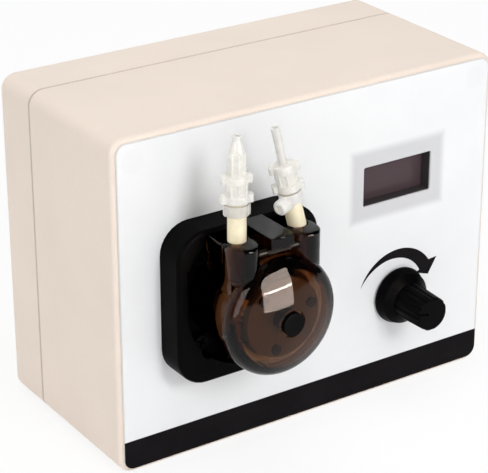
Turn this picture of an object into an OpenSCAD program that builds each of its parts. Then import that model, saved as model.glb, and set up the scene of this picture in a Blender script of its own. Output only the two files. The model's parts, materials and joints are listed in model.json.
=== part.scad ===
// Bench peristaltic pump: a two-part plastic case with a small display and a speed
// knob, a stepper motor inside, and a snap-on roller head that squeezes a soft tube.
// Lengths are in millimetres. X runs to the right seen from the front, Y to the back
// and Z up. The origin is under the middle of the case, on the face it stands on.

/* [Case] */
// Width of the case
case_w = 115; // [100:1:140]
// Height of the case
case_h = 90; // [84:1:110]
// Depth of the front shell
front_shell_d = 40.3; // [38:0.1:60]
// Depth of the rear shell
rear_shell_d = 15.2; // [14:0.1:25]
// Thickness of the moulded walls
case_wall = 2.5; // [2:0.1:3.5]
// Radius of the four long edges
case_corner_r = 4; // [3.5:0.1:6]
// Rounding of the front and back edges
case_edge_r = 1; // [0.4:0.1:2]
// Distance of the corner screws from the sides
post_inset = 5.75; // [5.2:0.05:8]
// Radius of the corner posts
post_r = 4.2; // [3.8:0.1:5]
// Length of the lip that centres the two shells
lip_h = 3; // [2:0.1:5]
// Thickness of the lip that centres the two shells
lip_t = 1.2; // [0.8:0.1:2]
// Depth of the screw wells, from the front of the case
well_depth = 28; // [20:0.5:32]

/* [Front film] */
// Thickness of the printed film on the front
film_t = 0.5; // [0.3:0.05:0.8]
// Bare rim of the case around the film
film_margin = 1.2; // [0.8:0.1:3]

/* [Display] */
// Width of the display window
window_w = 21.7; // [18:0.1:24]
// Height of the display window
window_h = 10.9; // [9:0.1:13]
// Window centre, to the right of the middle
window_x = 27.2; // [22:0.1:32]
// Window centre, above the bottom
window_z = 61; // [58:0.1:68]
// Width of the opening in the case behind the film
cutout_w = 30.7; // [28.5:0.1:34]
// Height of the opening in the case behind the film
cutout_h = 20.4; // [15:0.1:20.4]
// Width of the display glass
panel_w = 26.7; // [25:0.1:28]
// Height of the display glass
panel_h = 19.3; // [14:0.1:19.6]
// Thickness of the display glass
panel_t = 1.5; // [1:0.1:2]
// Width and height of the display's circuit board
display_board_w = 27.8; // [27:0.1:30]
// Distance between the display's screws
display_pitch = 23.8; // [23.6:0.1:25]

/* [Speed knob] */
// Knob centre, to the right of the middle
knob_x = 28.5; // [22:0.1:34]
// Knob centre, above the bottom
knob_z = 27.6; // [22:0.1:34]
// Radius of the knob's skirt
skirt_r = 7.8; // [7.7:0.1:10]
// Height of the knob's skirt
skirt_h = 4.6; // [4.3:0.1:5.5]
// Radius of the fluted grip at its root
grip_r = 5; // [4.8:0.1:5.8]
// Radius of the fluted grip at its top
grip_top_r = 4.6; // [4.2:0.1:4.8]
// Height of the knob above its underside
knob_h = 14.6; // [12:0.1:18]
// Number of flutes around the grip
flutes = 12; // [6:1:18]
// Radius of the knob's shaft
knob_shaft_r = 3; // [2.5:0.1:3.1]
// Radius of the threaded bush of the speed control
bush_r = 3.5; // [3.4:0.1:4]
// Radius of the speed control's body
control_r = 8; // [7:0.1:10]
// Depth of the speed control's body
control_d = 8; // [6:0.1:12]

/* [Pump base] */
// Pump axis, to the right of the middle
pump_x = -24.4; // [-28:0.1:-22]
// Pump axis, above the bottom
pump_z = 45; // [40:0.1:50]
// Width and height of the square base
base_w = 41.2; // [40.6:0.1:46]
// Thickness of the base
base_t = 8.5; // [7.5:0.1:10]
// Radius of the base's corners
base_corner_r = 8; // [5:0.1:10]
// Floor left under the recess
base_floor = 2.5; // [2:0.1:3]
// Radius of the recess that takes the head
recess_r = 18; // [17.6:0.1:18.6]
// Radius of the recess's upper corners
recess_corner_r = 11; // [6:0.1:14]

/* [Pump head] */
// Outer radius of the drum behind the dome
drum_r = 14; // [13.8:0.1:14.4]
// Wall of the drum
drum_wall = 1.4; // [1.2:0.05:1.8]
// Radius of the dome's rim
rim_r = 15.6; // [15:0.1:16.4]
// Width of the dome's rim
rim_t = 1.1; // [0.8:0.1:2]
// Height of the rim's front above the film
rim_z = 20.9; // [20.9:0.1:23]
// Radius of the rounded shoulder between the rim and the dome
shoulder_r = 3.5; // [2.5:0.1:4.5]
// Height of the dome's crown above the film
dome_z = 27.3; // [27:0.1:30]
// Thickness of the dome
dome_wall = 1.2; // [0.9:0.05:1.5]
// Radius of the hole in the middle of the dome
dome_hole_r = 3.5; // [3.4:0.1:4.2]
// Distance of each tube port from the pump axis
port_x = 8.8; // [8.6:0.05:9.2]
// Radius of the round front of a port
port_r = 4; // [3.9:0.05:4.4]
// Height of the ports above the pump axis
port_top = 20.1; // [18.5:0.1:21]
// Wall of the port channels
port_wall = 1; // [0.8:0.1:1.2]
// Height of the tube's plane above the film
tube_plane = 16.1; // [15.8:0.1:16.4]

/* [Release latch] */
// Width of the latch
latch_w = 6.6; // [4:0.1:7]
// Thickness of the latch
latch_t = 3.1; // [2.5:0.1:3.6]
// Top of the latch above the pump axis
latch_top = 21.3; // [21:0.1:22]
// Front end of the latch above the film
latch_front = 22.6; // [22:0.1:24]
// Radius of the latch's pivot pin
latch_pin_r = 0.8; // [0.6:0.05:1]

/* [Rotor] */
// Radius of the three rollers
roller_r = 2.5; // [2.2:0.05:2.6]
// Radius of the roller pins
pin_r = 1; // [0.8:0.05:1.2]
// Radius of the rotor's hub between the rollers
hub_r = 5; // [4:0.1:5.2]
// Radius of the rotor's two plates
rotor_plate_r = 10.3; // [10:0.05:10.4]
// Thickness of the rotor's two plates
rotor_plate_t = 1.7; // [1.4:0.05:1.8]
// Radius of the rotor's nose in the dome's hole
nose_r = 3; // [2.7:0.05:3.2]

/* [Tube] */
// Outer diameter of the tube
tube_od = 4.6; // [4.4:0.1:5]
// Wall of the tube
tube_wall = 0.9; // [0.8:0.05:0.95]
// Lean of the right-hand tube end
lean = 12.5; // [4:0.5:14]
// Direction of that lean, turned from the right towards the case
lean_turn = 163; // [120:1:180]
// Free length of the tube above the ports
tube_free = 10; // [9:0.1:12]

/* [Hose connectors] */
// Outer radius of the thin hose stems
stem_r = 1.1; // [1:0.05:1.4]
// Length of the thin hose stems
stem_l = 9.8; // [9.2:0.1:14]
// Width across the connector's wings
wing_w = 8; // [7:0.1:10]
// Radius of the connector's body between the wings
connector_r = 2.45; // [2.2:0.05:2.8]
// Band of the tube clips around the tube
clip_t = 0.6; // [0.4:0.05:0.8]
// Radius of the grip on the right-hand clip
stub_r = 1.9; // [1.6:0.05:2.2]
// Reach of that grip beyond the clip's band
stub_l = 2.4; // [1.5:0.1:3]

/* [Motor] */
// Width across the motor
motor_w = 28.2; // [27.5:0.1:30]
// Length of the motor's body
motor_len = 32; // [30:0.5:36]
// Distance between the motor's fixing screws
screw_pitch = 23; // [22.8:0.1:23.4]
// Radius of the motor's front boss
boss_r = 11; // [10:0.1:11.5]
// Radius of the motor's shaft
shaft_r = 2.5; // [2:0.1:3]
// Length of the motor's shaft in front of its face
shaft_len = 20; // [18:0.1:21]

/* [Controller] */
// Width of the controller board
board_w = 62; // [50:1:66]
// Height of the controller board
board_h = 44; // [40:1:50]
// Height of the board's pillars
pillar_h = 6.4; // [5:0.1:7]
// Power socket, to the right of the middle
jack_x = 36; // [20:0.5:42]
// Power socket, above the bottom
jack_z = 16; // [14:0.5:17]
// Radius of the power socket's opening
jack_bore_r = 3; // [2.8:0.05:3.2]

/* [Hidden] */
$fn = 64;

// Clearances and small shared sizes
fit = 0.1;
run = 0.05;
close = 0.02;
skin = 0.01;
gap = 0.3;
screw_clear = 0.15;
over = 1;

// Planes along the depth, measured outwards from the film's front
case_d = film_t + front_shell_d + rear_shell_d;
wall_in = -film_t - case_wall;
parting = -film_t - front_shell_d;
rear_in = -case_d + case_wall;

// Machine screws: radius, head radius and head height
m2_r = 1;
m2_head_r = 1.9;
m2_head_h = 1.3;
m25_r = 1.25;
m25_head_r = 2.25;
m25_head_h = 1.8;
m3_r = 1.5;
m3_head_r = 2.7;
m3_head_h = 2;

// Case posts and the length of screw in the rear one
inner_corner_r = case_corner_r - case_wall;
well_r = m3_head_r + 0.25;
well_z = -film_t - well_depth;
case_screw_bite = 7.5;
case_screw_l = well_z - parting + case_screw_bite;

// Display stack
bezel_flange_t = 0.8;
panel_front = wall_in - bezel_flange_t;
display_board_t = 1.2;
board_front = panel_front - panel_t;
display_post_r = 1.6;
bezel_flange_w = 2;

// Knob stack
washer_t = 0.5;
nut_h = 2;
nut_r = 5.7;
pointer_angle = 165;
flute_r = 0.75;
flute_depth = 0.3;
knob_lift = 0.6;
skirt_rim_t = 0.7;
skirt_slope = 0.7;
grip_edge = 0.4;
tag_pitch = 4;
tag_l = 4;
tag_z = wall_in - 4;
knob_cavity_r = nut_r + 0.6;
knob_top = knob_lift + knob_h;
cavity_top = washer_t + nut_h + 0.8;
shoulder_z = cavity_top + 0.2;
skirt_top = knob_lift + skirt_h;
grip_z = skirt_top - 1;
grip_l = knob_top - grip_edge - grip_z;
shaft_top = knob_top - 3;

// Pump head
race_r = drum_r - drum_wall;
dome_h = dome_z - rim_z;
shoulder_x = rim_r - shoulder_r;
dome_R = (shoulder_x * shoulder_x + dome_h * dome_h - shoulder_r * shoulder_r)
    / (2 * (dome_h - shoulder_r));
dome_c = dome_z - dome_R;
tangent_x = shoulder_x * dome_R / (dome_R - shoulder_r);
base_edge_r = 1;
port_c = rim_z + 1.7 - port_r;
port_start = 10.8;
port_root = 7.5;
port_back = base_t + gap;
tube_r = tube_od / 2;
bore_r = tube_r - tube_wall;
channel_r = tube_r + 0.25;
port_step = tube_plane + channel_r + port_wall;
lug_angle = 28;
lug_r = 16.4;
lug_t = 1.8;

// The squeezed run of the tube, against the race
slice = 0.2;
tube_step = 0.12;
pinch_t = 2 * tube_wall;
pinch_out = race_r - run;
pinch_mid = pinch_out - pinch_t / 2;
pinch_w = PI * (tube_r - tube_wall / 2) + tube_wall - pinch_t;
sweep_r = pinch_out - pinch_t;
lead_angle = 25;
lead_y = race_r * sin(lead_angle) - 0.2;
lift_y = 11;
hose_y = port_top - 0.5;
bend_r = 6;
bend_l = bend_r * sin(lean);

// Rotor
roller_start = 15;
front_plate_z = rim_z;
roller_top = rim_z - 0.2;
roller_bottom = rim_z - 10;
rear_plate_z = roller_bottom - 0.2 - rotor_plate_t;
pin_track = sweep_r - run - roller_r;
pin_head_r = pin_r + 0.35;
pin_head_h = 0.6;
motor_face = wall_in;
shaft_end = motor_face + shaft_len;
spigot_r = 3.9;
flat_depth = 0.5;
plate_t = rear_plate_z - gap - base_floor;
hub_start = base_floor + 2.5;
nose_top = dome_z + 0.4;

// Release latch
pivot_y = latch_top - latch_t - 1;
pivot_z = latch_front - 2.3;
knuckle_r = 1.3;
pin_half = port_x - port_r + 1.9;
hook_z = 4.6;
hook_l = 1.6;
hook_h = 0.8;
tail_t = 1.9;
tail_top = latch_top - latch_t;
keeper_gap = 0.2;
keeper_y = tail_top + keeper_gap;

// Hose connectors and tube clips
collar_z = tube_free + 0.4;
collar_t = 2;
collar2_z = collar_z + collar_t + 3;
wing_t = 2.2;
left_turn = -20;
right_turn = -28;
right_drop = 0.5;
grip_turn = 20;
stem_z = collar2_z + collar_t;
stem_bore_r = 0.6;
rib_r = 0.35;
fin_r = 2;
fin_l = 5.6;
taper_l = 3.2;
clip_h = 2.7;
clip_z = tube_free - clip_h;
clip_r = tube_r + clip_t;
stub_edge = 0.8;

// Motor
bell_t = 8;
boss_t = 2;
seat_r = 6.5;
bearing_t = 4;
core_r = 9.2;
core_gap = 0.2;
end_gap = 0.3;
bearing_wall = 1;
stator_back = motor_face - motor_len + bell_t;
motor_back = motor_face - motor_len;

// Controller board
board_t = 1.6;
board_x = 18;
board_y = 48;
board_back = rear_in + pillar_h;
board_top = board_back + board_t;
pillar_r = 3;
hole_inset = 3.5;
board_screw_bite = 4;

// Chips, heat sink and capacitors on the board
chip_t = 1.4;
processor_x = 6;
processor_y = -3;
processor_w = 10;
driver_x = -16;
driver_y = -2;
driver_w = 10;
regulator_x = 22;
regulator_y = -12;
regulator_w = 5;
regulator_h = 6;
memory_x = -4;
memory_y = 12;
memory_w = 4;
memory_h = 5;
sink_t = 1.5;
sink_fin_t = 1;
sink_fin_h = 5;
sink_fins = 5;
capacitor_left_x = -22;
capacitor_right_x = 24;
capacitor_y = 12;
capacitor_r = 4;
capacitor_h = 9;

// Wire sockets on the board: x, y and width of the motor's, display's, knob's and power's
sockets = [[-18, -16, 10], [8, 17, 10], [18, 4, 8], [6, -17, 6]];
socket_h = 6;
socket_d = 5;
wire_r = 0.6;
wire_end = 1;

// Power socket
jack_r = jack_bore_r + 1;
jack_pin_r = 1.05;
jack_flange_t = 1.6;
jack_flange_w = 1.6;
jack_depth = 6;
jack_wall = 3;
jack_floor = rear_in + jack_depth;
jack_back = jack_floor + jack_wall;
jack_pin_seat = 2;
jack_nut_w = 1.9;
jack_nut_h = 2;

// Rounded rectangle, centred
module rounded_rect(w, h, r) {
    square([w - 2 * r, h], center = true);
    square([w, h - 2 * r], center = true);
    for (sx = [-1, 1], sy = [-1, 1])
        translate([sx * (w / 2 - r), sy * (h / 2 - r)]) circle(r);
}

// Flat plate with rounded corners between two heights
module plate(w, h, r, z0, z1) {
    translate([0, 0, z0]) linear_extrude(z1 - z0) rounded_rect(w, h, r);
}

// Cylinder between two heights
module disc(r, z0, z1) {
    translate([0, 0, z0]) cylinder(r = r, h = z1 - z0);
}

// Ring between two heights
module ring(r_out, r_in, z0, z1) {
    difference() {
        disc(r_out, z0, z1);
        disc(r_in, z0 - 1, z1 + 1);
    }
}

// Block whose face at height 0 has a rounded rim, standing down from it
module softened_block(w, h, r, depth, edge) {
    steps = 4;
    hull() {
        plate(w, h, r, -depth, -depth + skin, $fn = 32);
        for (i = [0 : steps]) {
            a = 90 * i / steps;
            inset = edge * (1 - sin(a));
            z = -edge * (1 - cos(a));
            plate(w - 2 * inset, h - 2 * inset, r - inset * 0.9, z - skin, z, $fn = 32);
        }
    }
}

// Frames: film front (x right, y up, z outwards), then the centres on it
module at_front() {
    translate([0, -case_d / 2, 0]) rotate([90, 0, 0]) children();
}
module at_pump() {
    at_front() translate([pump_x, pump_z, 0]) children();
}
module at_display() {
    at_front() translate([window_x, window_z, 0]) children();
}
module at_knob() {
    at_front() translate([knob_x, knob_z, 0]) children();
}
module at_board() {
    at_front() translate([board_x, board_y, 0]) children();
}
module at_jack() {
    at_front() translate([jack_x, jack_z, 0]) children();
}

// Copies at the four corners of a rectangle
module at_corners(w, h) {
    for (sx = [-1, 1], sy = [-1, 1]) translate([sx * w / 2, sy * h / 2, 0]) children();
}
module at_posts() {
    translate([0, case_h / 2, 0]) at_corners(case_w - 2 * post_inset, case_h - 2 * post_inset) children();
}
module at_pump_screws() {
    translate([pump_x, pump_z, 0]) at_corners(screw_pitch, screw_pitch) children();
}

// Extrusion that stands up along y; its outline is drawn with y as the depth
// behind the film, so a point in front of the film has a negative y
module stand_up(y0, y1) {
    translate([0, y0, 0]) rotate([-90, 0, 0]) linear_extrude(y1 - y0) children();
}

// Round tube along a chain of points, with flat ends; the chain never runs along off
function unit(v) = v / norm(v);
function heading(p, i) = unit(p[min(i + 1, len(p) - 1)] - p[max(i - 1, 0)]);
module sweep(p, r, off, sides) {
    rings = [
        for (i = [0 : len(p) - 1])
            let (t = heading(p, i), u = unit(cross(t, off)), v = cross(t, u))
                for (k = [0 : sides - 1])
                    let (a = 360 * k / sides) p[i] + r * (cos(a) * u + sin(a) * v)
    ];
    n = len(p);
    sides_faces = [
        for (i = [0 : n - 2], k = [0 : sides - 1])
            let (a = i * sides + k, b = i * sides + (k + 1) % sides)
                each [[a, b, b + sides], [a, b + sides, a + sides]]
    ];
    first = [for (k = [1 : sides - 2]) [0, k + 1, k]];
    last = [for (k = [1 : sides - 2]) [(n - 1) * sides, (n - 1) * sides + k, (n - 1) * sides + k + 1]];
    polyhedron(rings, concat(first, sides_faces, last));
}

// Smooth curve from a to b that leaves along ta and arrives along tb
function curve(a, ta, b, tb, steps = 12) = [
    for (i = [0 : steps])
        let (t = i / steps, s = 1 - t)
            s * s * s * a + 3 * s * s * t * (a + ta) + 3 * s * t * t * (b - tb) + t * t * t * b
];

// ---- Case ----

module front_shell() {
    color("AntiqueWhite") at_front() difference() {
        union() {
            difference() {
                translate([0, case_h / 2, -film_t])
                    softened_block(case_w, case_h, case_corner_r, front_shell_d, case_edge_r);
                translate([0, case_h / 2, 0])
                    plate(case_w - 2 * case_wall, case_h - 2 * case_wall, inner_corner_r,
                          parting - 1, wall_in);
            }
            at_posts() disc(post_r, parting, wall_in + skin);
            translate([window_x, window_z, 0]) at_corners(display_pitch, display_pitch)
                disc(display_post_r, board_front, wall_in + skin);
        }
        at_posts() {
            disc(well_r, well_z, 1);
            disc(m3_r + screw_clear, parting - over, 0);
        }
        at_pump_screws() disc(m25_r + screw_clear, wall_in - 1, 1);
        translate([pump_x, pump_z, 0]) disc(boss_r + fit, wall_in - 1, 1);
        translate([knob_x, knob_z, 0]) disc(bush_r + fit, wall_in - 1, 1);
        translate([window_x, window_z, 0]) {
            plate(cutout_w, cutout_h, 1, wall_in - 0.01, 1);
            at_corners(display_pitch, display_pitch) disc(m2_r + close, board_front - 1, wall_in + 0.5);
        }
    }
}

module rear_shell() {
    lip_w = case_w - 2 * case_wall - 2 * fit;
    lip_tall = case_h - 2 * case_wall - 2 * fit;
    color("AntiqueWhite") at_front() difference() {
        union() {
            difference() {
                translate([0, case_h / 2, -case_d]) mirror([0, 0, 1])
                    softened_block(case_w, case_h, case_corner_r, rear_shell_d, case_edge_r);
                translate([0, case_h / 2, 0])
                    plate(case_w - 2 * case_wall, case_h - 2 * case_wall, inner_corner_r,
                          rear_in, parting + 1);
            }
            at_posts() disc(post_r, rear_in - skin, parting);
            difference() {
                translate([0, case_h / 2, 0])
                    plate(case_w - 2 * case_wall + 2, case_h - 2 * case_wall + 2, inner_corner_r + 1,
                          parting - lip_h, parting - skin);
                translate([0, case_h / 2, 0])
                    plate(lip_w - 2 * lip_t, lip_tall - 2 * lip_t, inner_corner_r,
                          parting - lip_h - 1, parting + 1);
            }
            difference() {
                translate([0, case_h / 2, 0])
                    plate(lip_w, lip_tall, inner_corner_r, parting - lip_h, parting + lip_h);
                translate([0, case_h / 2, 0])
                    plate(lip_w - 2 * lip_t, lip_tall - 2 * lip_t, inner_corner_r,
                          parting - lip_h - 1, parting + lip_h + 1);
                at_posts() disc(post_r + gap, parting, parting + lip_h + 1);
            }
            translate([board_x, board_y, 0])
                at_corners(board_w - 2 * hole_inset, board_h - 2 * hole_inset)
                    disc(pillar_r, rear_in - skin, board_back);
        }
        at_posts() disc(m3_r + close, rear_in + 1, parting + 1);
        translate([board_x, board_y, 0])
            at_corners(board_w - 2 * hole_inset, board_h - 2 * hole_inset)
                disc(m2_r + close, rear_in + 1, board_back + 1);
        translate([jack_x, jack_z, 0]) disc(jack_r + fit, -case_d - 1, rear_in + 1);
    }
}

module case_screws() {
    color("Silver") at_front() at_posts() difference() {
        union() {
            disc(m3_head_r, well_z, well_z + m3_head_h);
            disc(m3_r, well_z - case_screw_l, well_z + skin);
        }
        for (a = [0, 90]) rotate([0, 0, a])
            translate([-1.5, -0.3, well_z + m3_head_h - 1.1]) cube([3, 0.6, 2]);
    }
}

module front_film() {
    color("White") at_front() difference() {
        translate([0, case_h / 2, 0])
            plate(case_w - 2 * film_margin, case_h - 2 * film_margin, case_corner_r - film_margin,
                  -film_t, 0);
        translate([window_x, window_z, 0]) plate(window_w, window_h, 0.4, -film_t - 1, 1);
        translate([knob_x, knob_z, 0]) disc(bush_r + fit, -film_t - 1, 1);
        translate([pump_x, pump_z, 0]) disc(boss_r + fit, -film_t - 1, 1);
        at_pump_screws() disc(m25_r + screw_clear, -film_t - 1, 1);
    }
}

// ---- Display ----

module display_bezel() {
    color("DimGray") at_display() difference() {
        union() {
            plate(cutout_w - 2 * fit, cutout_h - 2 * fit, 0.9, panel_front, -film_t);
            plate(cutout_w + 2 * bezel_flange_w, cutout_h - 2, 0.9, panel_front, wall_in);
        }
        plate(window_w, window_h, 0.4, panel_front - 1, 1);
    }
}

module display_panel() {
    color("SlateGray") at_display() plate(panel_w, panel_h, 0.3, board_front, panel_front);
}

module display_board() {
    color("MidnightBlue") at_display() difference() {
        plate(display_board_w, display_board_w, 1, board_front - display_board_t, board_front);
        at_corners(display_pitch, display_pitch)
            disc(m2_r + fit, board_front - display_board_t - 1, board_front + 1);
    }
}

module display_screws() {
    z = board_front - display_board_t;
    color("Silver") at_display() at_corners(display_pitch, display_pitch) {
        disc(m2_head_r, z - m2_head_h, z);
        disc(m2_r, z - skin, wall_in - 0.2);
    }
}

// ---- Speed knob ----

// Narrowing grip with flutes along it and a chamfered top
module fluted_grip() {
    difference() {
        union() {
            translate([0, 0, grip_z]) cylinder(r1 = grip_r, r2 = grip_top_r, h = grip_l);
            translate([0, 0, grip_z + grip_l - skin])
                cylinder(r1 = grip_top_r - skin, r2 = grip_top_r - grip_edge, h = grip_edge + skin);
        }
        for (i = [0 : flutes - 1]) rotate([0, 0, pointer_angle + 360 * (i + 0.5) / flutes])
            translate([grip_r + flute_r - flute_depth, 0, grip_z])
                rotate([0, -atan((grip_r - grip_top_r) / grip_l), 0])
                    cylinder(r = flute_r, h = grip_l + 2 * grip_edge);
    }
}

module speed_knob() {
    color("Black") at_knob() difference() {
        union() {
            disc(skirt_r, knob_lift, knob_lift + skirt_rim_t);
            translate([0, 0, knob_lift + skirt_rim_t])
                cylinder(r1 = skirt_r - fit, r2 = skirt_r - skirt_slope,
                         h = shoulder_z - knob_lift - skirt_rim_t);
            translate([0, 0, shoulder_z])
                cylinder(r1 = skirt_r - skirt_slope - fit, r2 = grip_r + fit, h = skirt_top - shoulder_z);
            fluted_grip();
        }
        disc(knob_cavity_r, knob_lift - 1, cavity_top);
        disc(knob_shaft_r + close, 0, shaft_top + close);
        rotate([0, 0, pointer_angle]) translate([1.6, -0.35, knob_top - 0.6]) cube([grip_r, 0.7, 1]);
    }
}

module knob_shaft() {
    color("Gainsboro") at_knob() disc(knob_shaft_r, wall_in - control_d + 2, shaft_top);
}

module speed_control() {
    color("SteelBlue") at_knob() difference() {
        union() {
            disc(control_r, wall_in - control_d, wall_in);
            disc(bush_r, wall_in - skin, washer_t + nut_h + 0.6);
            for (i = [-1 : 1]) translate([i * tag_pitch - 0.6, -control_r - tag_l, tag_z])
                cube([1.2, tag_l + 2, 0.8]);
        }
        disc(knob_shaft_r + run, wall_in - control_d + 2 - run, 10);
    }
}

module control_washer() {
    color("Silver") at_knob() ring(nut_r, bush_r + run, 0, washer_t);
}

module control_nut() {
    color("Silver") at_knob() difference() {
        translate([0, 0, washer_t]) cylinder(r = nut_r, h = nut_h, $fn = 6);
        disc(bush_r + close, 0, washer_t + nut_h + 1);
    }
}

// ---- Pump base ----

// Outline of the recess: a round lower half and an arched upper half
module recess_outline() {
    circle(recess_r);
    translate([0, keeper_y / 2]) square([2 * recess_r, keeper_y - 2 * recess_corner_r], center = true);
    translate([0, (keeper_y - recess_corner_r) / 2])
        square([2 * recess_r, keeper_y - recess_corner_r], center = true);
    translate([0, keeper_y / 2]) square([2 * (recess_r - recess_corner_r), keeper_y], center = true);
    for (s = [-1, 1]) translate([s * (recess_r - recess_corner_r), keeper_y - recess_corner_r])
        circle(recess_corner_r);
}

module pump_base() {
    color("Black") at_pump() difference() {
        union() {
            difference() {
                translate([0, 0, base_t])
                    softened_block(base_w, base_w, base_corner_r, base_t, base_edge_r);
                translate([0, 0, base_floor]) linear_extrude(base_t) recess_outline();
            }
            // Lip that holds the bottom lug of the housing
            rotate([0, 0, -90 - lug_angle / 2 - 3]) rotate_extrude(angle = lug_angle + 6)
                translate([lug_r - 1.6, base_floor + lug_t + 0.15])
                    square([recess_r - lug_r + 2, 1.4]);
        }
        disc(boss_r - 2, -1, base_floor + 1);
        at_corners(screw_pitch, screw_pitch) {
            disc(m25_r + screw_clear, -1, base_floor + 1);
            disc(m25_head_r + 0.35, base_floor, base_t + 1);
        }
        // Notch that takes the latch's hook
        translate([-latch_w / 2 - gap, keeper_y - 1, hook_z - gap])
            cube([latch_w + 2 * gap, hook_h + 1 + gap, hook_l + 2 * gap]);
    }
}

module base_screws() {
    color("Silver") at_pump() at_corners(screw_pitch, screw_pitch) difference() {
        union() {
            disc(m25_head_r, base_floor, base_floor + m25_head_h);
            disc(m25_r, motor_face - 2.8, base_floor + skin);
        }
        for (a = [0, 90]) rotate([0, 0, a])
            translate([-1.3, -0.25, base_floor + m25_head_h - 1]) cube([2.6, 0.5, 2]);
    }
}

// ---- Pump head ----

// Outline of one port: round towards the front, open walls towards the case
module port_outline() {
    translate([0, -port_c]) circle(port_r);
    translate([-port_r, -port_c]) square([2 * port_r, port_c - port_back]);
}

// Half outline of the housing: drum, rim, rounded shoulder and dome
module housing_profile() {
    translate([0, base_floor]) square([drum_r, rim_z - rim_t - base_floor + skin]);
    translate([0, rim_z - rim_t]) square([rim_r, rim_t]);
    translate([shoulder_x, rim_z]) intersection() {
        circle(shoulder_r);
        translate([-shoulder_r, -skin]) square(2 * shoulder_r);
    }
    intersection() {
        translate([0, dome_c]) circle(dome_R);
        translate([0, rim_z - rim_t]) square([tangent_x, dome_h + rim_t + 1]);
    }
}

// Half outline of the race, the hollow of the dome and its hole
module hollow_profile() {
    intersection() {
        translate([0, dome_c]) circle(dome_R - dome_wall);
        translate([0, base_floor - 1]) square([race_r, dome_z]);
    }
    translate([0, rim_z]) square([dome_hole_r, dome_h + 1]);
}

module pump_housing() {
    color("SaddleBrown", 0.6) at_pump() difference() {
        union() {
            rotate_extrude($fn = 96) housing_profile();
            for (s = [-1, 1]) translate([s * port_x, 0, 0]) {
                stand_up(port_start, port_top) port_outline();
                stand_up(port_root, port_start + skin) translate([-port_r, -port_step])
                    square([2 * port_r, port_step - port_back]);
            }
            rotate([0, 0, -90 - lug_angle / 2]) rotate_extrude(angle = lug_angle)
                translate([drum_r - 0.5, base_floor]) square([lug_r - drum_r + 0.5, lug_t]);
        }
        rotate_extrude($fn = 96) hollow_profile();
        for (s = [0, 1]) mirror([s, 0, 0]) {
            translate([port_x - channel_r, lead_y - 0.6, tube_plane - pinch_w / 2 - 0.4])
                cube([2 * channel_r, lift_y - lead_y + 0.6, pinch_w + 0.8]);
            translate([port_x, 0, 0]) {
                stand_up(lift_y - 0.5, port_top + 1) {
                    translate([0, -tube_plane]) circle(channel_r);
                    translate([-channel_r, -tube_plane]) square([2 * channel_r, tube_plane - port_back + 1]);
                }
                stand_up(drum_r + 0.4, port_top + 1)
                    translate([-port_r + port_wall, -tube_plane + 1.4])
                        square([2 * (port_r - port_wall), tube_plane - 1.4 - port_back + 1]);
            }
        }
        // Seats of the latch's pin
        translate([0, pivot_y, pivot_z]) rotate([0, 90, 0])
            translate([0, 0, -pin_half]) cylinder(r = latch_pin_r + close, h = 2 * pin_half);
    }
}

module head_plate() {
    color("Black") at_pump() ring(race_r - fit, hub_r + 1, base_floor, base_floor + plate_t);
}

module release_latch() {
    color("SaddleBrown", 0.6) at_pump() difference() {
        union() {
            translate([-latch_w / 2, latch_top - latch_t, base_t + gap])
                cube([latch_w, latch_t, latch_front - base_t - gap]);
            translate([-latch_w / 2, tail_top - tail_t, hook_z])
                cube([latch_w, tail_t + skin, base_t + 2.5 - hook_z]);
            translate([-latch_w / 2, tail_top - skin, hook_z])
                cube([latch_w, hook_h, hook_l]);
            translate([-latch_w / 2, pivot_y, pivot_z - knuckle_r])
                cube([latch_w, latch_top - latch_t - pivot_y + skin, 2 * knuckle_r]);
            translate([-latch_w / 2, pivot_y, pivot_z]) rotate([0, 90, 0])
                cylinder(r = knuckle_r, h = latch_w);
        }
        translate([-latch_w, pivot_y, pivot_z]) rotate([0, 90, 0])
            cylinder(r = latch_pin_r + run, h = 2 * latch_w);
    }
}

module latch_pin() {
    color("Silver") at_pump() translate([-pin_half, pivot_y, pivot_z]) rotate([0, 90, 0])
        cylinder(r = latch_pin_r, h = 2 * pin_half);
}

// ---- Rotor ----

// D-shaped bore for the motor's shaft
module shaft_bore(z0, z1, clear) {
    translate([0, 0, z0]) linear_extrude(z1 - z0) difference() {
        circle(shaft_r + clear);
        translate([-shaft_r - 1, shaft_r - flat_depth + clear]) square([2 * shaft_r + 2, 2]);
    }
}

// Copies at the three roller positions
module at_roller(i) {
    rotate([0, 0, roller_start + 120 * i]) translate([pin_track, 0, 0]) children();
}

module rotor() {
    color("WhiteSmoke") at_pump() difference() {
        union() {
            disc(rotor_plate_r, rear_plate_z, rear_plate_z + rotor_plate_t);
            disc(hub_r, hub_start, rim_z - run);
            disc(spigot_r, rim_z - fit, front_plate_z + rotor_plate_t);
        }
        shaft_bore(hub_start - 1, shaft_end + fit, close);
        disc(shaft_r, shaft_end + fit - skin, rim_z + 5);
        for (i = [0 : 2]) at_roller(i) disc(pin_r + close, rear_plate_z - 1, rim_z);
    }
}

module rotor_front_plate() {
    color("WhiteSmoke") at_pump() difference() {
        ring(rotor_plate_r, spigot_r + close, front_plate_z, front_plate_z + rotor_plate_t);
        for (i = [0 : 2]) at_roller(i) disc(pin_r + close, front_plate_z - 1, rim_z + 5);
    }
}

module rotor_nose() {
    color("Black") at_pump() {
        disc(nose_r, front_plate_z + rotor_plate_t, nose_top);
        disc(shaft_r - close, shaft_end + gap, front_plate_z + rotor_plate_t + skin);
    }
}

module roller(i) {
    color("LightGray") at_pump() at_roller(i)
        ring(roller_r, pin_r + run, roller_bottom, roller_top);
}

module roller_pins() {
    color("Silver") at_pump() for (i = [0 : 2]) at_roller(i) {
        disc(pin_r, rear_plate_z, front_plate_z + rotor_plate_t + skin);
        disc(pin_head_r, front_plate_z + rotor_plate_t, front_plate_z + rotor_plate_t + pin_head_h);
    }
}

// ---- Tube and connectors ----

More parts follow.
